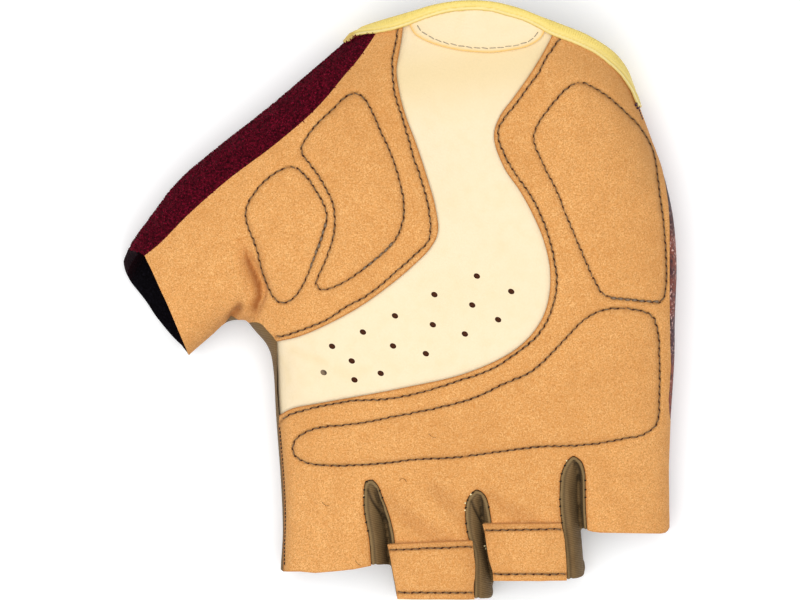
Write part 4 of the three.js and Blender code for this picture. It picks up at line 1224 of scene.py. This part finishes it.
for name, tab in PULL_TABS.items():
    edges = [smooth(tab[side], step=0.2) for side in ("left", "right")]
    low, high = np.vstack(edges).min(0), np.vstack(edges).max(0)
    seat = finger_top(low, high)
    span = high[1] - low[1]
    first, last = SEAM_FROM_TOP / span, 1 - SEAM_FROM_END / span
    bm = bmesh.new()
    bmesh.ops.create_grid(bm, x_segments=TAB_FACES[0], y_segments=TAB_FACES[1], size=0.5)
    for v in bm.verts:
        u, w = v.co.x + 0.5, 0.5 - v.co.y
        ends = [edge[min(int(round(w * (len(edge) - 1))), len(edge) - 1)] for edge in edges]
        x, y = ends[0] + u * (ends[1] - ends[0])
        held = sum(math.exp(-(((w - at) * span / SEAM_WIDTH) ** 2)) for at in (first, last))
        arch = TAB_ARCH * math.sin(math.pi * min(max((w - first) / (last - first), 0), 1)) ** 0.7
        curl = 0.45 * max(0, 1 - w / first) + 0.2 * max(0, (w - last) / (1 - last))
        ripple = 0.16 * noise.noise(Vector((x / 3.5, y / 3.5, 5)))
        v.co = Vector((x, y, seat(x, y) + TAB_LIFT + arch + curl + ripple - 0.3 * held)) * MM
    bmesh.ops.recalc_face_normals(bm, faces=bm.faces)
    if sum(f.normal.z for f in bm.faces) < 0:
        bmesh.ops.reverse_faces(bm, faces=bm.faces)
    bmesh.ops.solidify(bm, geom=bm.faces[:], thickness=TAB_THICKNESS * MM)
    bmesh.ops.recalc_face_normals(bm, faces=bm.faces)
    strip = place(name, bm)
    # The seams are darker, the nap pressed down with painted shade of the grooves, and the cut edges carry a
    # little painted shade.
    marked(strip, "sewn", [np.array(seam, float) for seam in tab["seams"]], 0.35)
    ends = edges + [np.array([edges[0][k], edges[1][k]]) for k in (0, -1)]
    marked(strip, "edge", ends, 0.22, most=0.3)
    keep(strip, name + "_strip", "suede", name)


def scatter(name, template, frames, marks=None):
    """Many small copies of a template, each turned and sized by its own frame."""
    shape = np.array([v.co for v in template.verts])
    obj = place(name, template.copy())
    rows = obj.modifiers.new("copies", "ARRAY")
    rows.count = len(frames)
    bake(obj)
    turns = np.array([np.array(m) for m, _ in frames])
    starts = np.array([o for _, o in frames])
    co = np.einsum("nij,kj->nki", turns, shape) + starts[:, None, :]
    reshape(obj, co.reshape(-1, 3) / MM)
    if marks is not None:
        paint(obj, marks, np.tile(np.clip(np.abs(shape[:, 0]), 0, 1), len(frames)))
    return obj


def stitch_shape():
    """One stitch, 1 long each way from its middle, its ends dipping into the needle holes."""
    bm = bmesh.new()
    bmesh.ops.create_uvsphere(bm, u_segments=6, v_segments=8, radius=1)
    bmesh.ops.rotate(bm, matrix=Matrix.Rotation(math.pi / 2, 3, "Y"), verts=bm.verts)
    for v in bm.verts:
        v.co.z -= 0.7 * v.co.x**4
    return bm


def laid_between(a, b, up, radius, lift, slant, share=1.0):
    """The frame of one stitch between two places."""
    forward = (b - a).normalized()
    sideways = up.cross(forward).normalized()
    turn = random.gauss(slant, 0.04)
    forward = (forward * math.cos(turn) + sideways * math.sin(turn)).normalized()
    sideways = up.cross(forward).normalized()
    up = forward.cross(sideways)
    thick = radius * random.uniform(0.92, 1.1) * MM
    long = (b - a).length / 2 * share
    turned = Matrix((forward * long, sideways * thick, up * thick)).transposed()
    return turned, (a + b) / 2 + up * lift * MM


needle_hole_shadows = []


def stitches(
    line, trees, pitch=2.0, radius=0.18, closed=False, step=0.24, lift=0.08, sway=0.07, aside=0, hole_shadows=False
):
    """Frames of the stitches of one seam, each a little slanted, and of dark pieces between them, the
    painted shadow of the needle holes.
    """
    line = np.vstack([line, line[:1]]) if closed else np.asarray(line, float)
    run = distances(line)
    count = max(1, int(round(run[-1] / pitch)))
    frames, last = [], None
    for i in range(count):
        ends = []
        for s, side in ((i, step), (i + 1, -step)):
            s = min(s * run[-1] / count, run[-1] - 1e-4)
            k = np.searchsorted(run, s, side="right") - 1
            ahead = (line[k + 1] - line[k]) / (run[k + 1] - run[k])
            across = np.array([-ahead[1], ahead[0]])
            hit = land(trees, *(line[k] + ahead * (s - run[k]) + across * aside))
            if hit:
                off = hit[1].cross(Vector((*ahead, 0))).normalized() * (side + random.gauss(0, sway)) * MM
                ends.append((hit[0] + off, hit[1]))
        if len(ends) == 2 and (ends[0][0] - ends[1][0]).length < 2 * pitch * MM:
            a, b = ends
            up = (a[1] + b[1]).normalized()
            pulled = 1 + 0.3 * noise.noise(a[0] / (9 * MM))
            frames.append(laid_between(a[0], b[0], up, radius * pulled, lift, 0, 0.9))
            if last and hole_shadows:
                middle, way = (last + a[0]) / 2, (a[0] - b[0]).normalized() * 0.4 * MM
                needle_hole_shadows.append(laid_between(middle + way, middle - way, up, 0.25 * pulled, 0.03, 0.5))
            last = b[0]
        else:
            last = None
    return frames


def crossings(line, trees, pitch=2.0, long=0.4, radius=0.2, skip=0.0):
    """Frames of stitches that cross a line, as where an edge is sewn over."""
    line = spaced(np.asarray(line, float), 0.5)
    run = distances(line)
    frames = []
    for s in np.arange(pitch / 2, run[-1], pitch):
        s += random.gauss(0, 0.12)
        at = np.array([np.interp(s, run, line[:, k]) for k in (0, 1)])
        ahead = np.array([np.interp(s + 0.5, run, line[:, k]) for k in (0, 1)]) - at
        if np.linalg.norm(ahead) < 1e-6 or random.random() < skip:
            continue
        across = np.array([-ahead[1], ahead[0]]) / np.linalg.norm(ahead) * long
        tops = [land(trees, *(at + across)), land(trees, *(at - across))]
        if None in tops or abs(tops[0][0].z - tops[1][0].z) > 0.9 * MM:
            continue
        up = (tops[0][1] + tops[1][1]).normalized()
        frames.append(laid_between(tops[0][0], tops[1][0], up, radius, 0.1, 0.25, 1.0))
    return frames


stitch = stitch_shape()


def sewn(name, frames, finish_name, marks="end"):
    return done(scatter(name, stitch, frames, marks), finish_name, None, 80)


palm_trees = surface(palm_suede, thumb_suede)
frames = []
for line in SEAMS.values():
    frames += stitches(line, palm_trees, closed=True, hole_shadows=True)
for line in EDGES.values():
    frames += stitches(line, palm_trees, hole_shadows=True)
for name, tab in PULL_TABS.items():
    for seam in tab["seams"]:
        tab_line = spaced(np.array(seam, float), 1.0)
        frames += stitches(tab_line, surface(PIECES[name + "_strip"]), sway=0.12, hole_shadows=True)
sewn("seam_stitches", frames, "thread")
# A second, flatter row where the seams were started and ended.
frames = []
for line in DOUBLED:
    frames += stitches(smooth(line), palm_trees, pitch=1.9, radius=0.34, step=-0.1, lift=0.2)
sewn("locked_stitches", frames, "worn_thread")
frames = stitches(smooth(PATCH_SEAM), surface(patch), radius=0.13, step=0.08, lift=0.09)
sewn("patch_stitches", frames, "pale_thread")
# The edges of the suede are sewn over along the finger gaps and the index finger.
edge_trees = surface(palm_suede, gusset, back, *[PIECES[name + "_strip"] for name in FINGER_GAPS])
frames = []
for number, line in enumerate(GAP_SIDES):
    head, skip = ((-61, 0.1), (-57, 0.7))[number % 2]
    frames += crossings(line[line[:, 1] > head], edge_trees, pitch=2.15, long=0.3, skip=skip)
index_edge = smooth(OUTLINES["index_side"])
index_edge = index_edge[index_edge[:, 1] > -69.5]
frames += stitches(index_edge, palm_trees, pitch=1.0, radius=0.19, step=0.2, sway=0.05, aside=0.4)
sewn("overcast_stitches", frames, "black_thread")
# Dark pieces between the stitches, the painted shadow of the needle holes.
sewn("needle_hole_shadows", needle_hole_shadows, "needle_hole_shadow", None)
# A bar of plum thread where the binding ends, and the seam that goes on from it.
tack_trees = surface(palm_suede, binding, back)
tack = smooth([(61.1, 51.1), (61.6, 50.4), (62.0, 49.7)], step=0.2)
frames = crossings(tack, tack_trees, pitch=0.3, long=0.5, radius=0.22)
frames += stitches(smooth([(62.0, 49.6), (62.5, 48.3), (63, 46.8)]), tack_trees, pitch=0.8, radius=0.19)
sewn("binding_tack", frames, "plum_thread")
frames = []
for x, y in KNOTS:
    hit = land(edge_trees, x, y)
    way = Vector((random.gauss(0, 1), random.gauss(0, 1), 0.4)).normalized() * 0.3 * MM
    frames.append(laid_between(hit[0] - way, hit[0] + way, hit[1], 0.24, 0.35, 0))
sewn("thread_ends", frames, "yellow_thread")
frames = []
for line in FIBRES:
    frames += stitches(smooth(line), palm_trees, pitch=0.35, radius=0.06, step=0, lift=0.1, sway=0)
sewn("suede_fibres", frames, "fibre", None)

# Tufts of the terry, so that its surface is rough and its edges are not sharp.
terry_faces = terry.data
terry_faces.calc_loop_triangles()
corners = np.array([t.vertices[:] for t in terry_faces.loop_triangles])
points = coords(terry)
sides = points[corners[:, 1]] - points[corners[:, 0]], points[corners[:, 2]] - points[corners[:, 0]]
facing = np.cross(*sides)
size = np.linalg.norm(facing, axis=1)
centre = points[corners].mean(axis=1)
outer = np.array([form_tree.find_nearest(Vector(c) * MM)[3] < 0.6 * MM for c in centre])
away_side = facing @ np.array([-0.6, 0.8, 0.0]) / np.maximum(size, 1e-9)
hidden = near_lines([smooth(THUMB_CROTCH[:7])], centre[:, :2]) < 2.0
weight = size * outer * (away_side > -0.1) * ~hidden
count = 15000  # tufts on the terry itself
picked = draw.choice(len(weight), count, p=weight / weight.sum())
frames = []


def tuft(spot, up, wide, tall):
    turned = up.to_track_quat("Z", "Y").to_matrix() @ Matrix.Rotation(draw.random() * 6, 3, "Z")
    wide *= draw.uniform(0.7, 1.3) * MM
    tall = tall * draw.uniform(0.6, 1.2) * MM
    frames.append((turned @ Matrix.Diagonal((wide, wide, tall)), spot - up * 0.1 * MM))


for k in picked:
    u, w = sorted(draw.random(2))
    a, b, c = points[corners[k]]
    spot = Vector(a * u + b * (w - u) + c * (1 - w)) * MM
    tuft(spot, Vector(facing[k]).normalized() + 0.7 * Vector(draw.normal(size=3)).normalized(), 0.24, 0.45)
# Others lie over the edge of the suede and of the binding.
border_trees = surface(terry, thumb_suede, binding)
suede_edge = smooth(OUTLINES["terry_edge"], step=0.25)
suede_edge = suede_edge[suede_edge[:, 1] < 68.6]
binding_edge = smooth(OUTLINES["cuff_seam"][2:10], step=0.07)
for line, up, wide in ((suede_edge, 0.1, 0.22), (binding_edge, -0.2, 0.15)):
    for x, y in line:
        hit = land(border_trees, x + draw.normal() * 0.15 - 0.15, y + draw.normal() * 0.14 + up)
        if hit:
            tuft(hit[0], hit[1] + 0.9 * Vector(draw.normal(size=3)).normalized(), wide, 0.35)
bm = bmesh.new()
bmesh.ops.create_cone(bm, cap_ends=False, segments=4, radius1=1, radius2=0.25, depth=2)
bmesh.ops.holes_fill(bm, edges=bm.edges, sides=4)
tufts = scatter("terry_tufts", bm, frames)
shade = draw.random(len(frames))
shade[count:] = 0.5 + 0.3 * shade[count:]
paint(tufts, "tip", np.repeat(np.clip(2.2 * shade - 1.2, 0, 1), len(bm.verts)))
paint(tufts, "root", np.repeat(np.clip(1 - 2.5 * shade, 0, 1), len(bm.verts)))
done(tufts, "terry", None, 80)

drop(fine_form, coarse_form)

# Floor, light and camera.
FLOOR_GLOW = 0.12
ROOM_LIGHT = 0.31
SOFTBOX_SIZE, SOFTBOX_WATTS, SOFTBOX_PLACE = 2.2, 37.5, (-0.1, -0.15, 1.6)
CAMERA_HEIGHT, VIEW_WIDTH, VIEW_LEVEL = 4.0, 0.208, 0.014
SENSOR = 36
WHITE = (1, 1, 1, 1)
bm = bmesh.new()
bmesh.ops.create_grid(bm, x_segments=1, y_segments=1, size=3)
floor = place("floor", bm)
floor_finish, floor_tree, floor_shader, _ = finish("pale_studio_floor", 0.9)
floor_shader.inputs["Base Color"].default_value = linear("fdfdfd")
floor_shader.inputs["Emission Color"].default_value = WHITE
floor_shader.inputs["Emission Strength"].default_value = FLOOR_GLOW
floor.data.materials.append(floor_finish)

scene = bpy.context.scene
scene.view_settings.view_transform = "Standard"
world = bpy.data.worlds.new("studio")
scene.world = world
world.use_nodes = True
world.node_tree.nodes["Background"].inputs["Color"].default_value = WHITE
world.node_tree.nodes["Background"].inputs["Strength"].default_value = ROOM_LIGHT
lamp = bpy.data.lights.new("overhead_softbox", "AREA")
lamp.size, lamp.energy = SOFTBOX_SIZE, SOFTBOX_WATTS
holder = bpy.data.objects.new("overhead_softbox", lamp)
scene.collection.objects.link(holder)
holder.location = SOFTBOX_PLACE
holder.rotation_euler = (-holder.location).to_track_quat("-Z", "Y").to_euler()

camera_data = bpy.data.cameras.new("camera")
camera_data.sensor_width = SENSOR
camera_data.lens = SENSOR * (CAMERA_HEIGHT - VIEW_LEVEL) / VIEW_WIDTH
camera_data.clip_end = 20
camera = bpy.data.objects.new("camera", camera_data)
scene.collection.objects.link(camera)
camera.location = (0, 0, CAMERA_HEIGHT)
scene.camera = camera
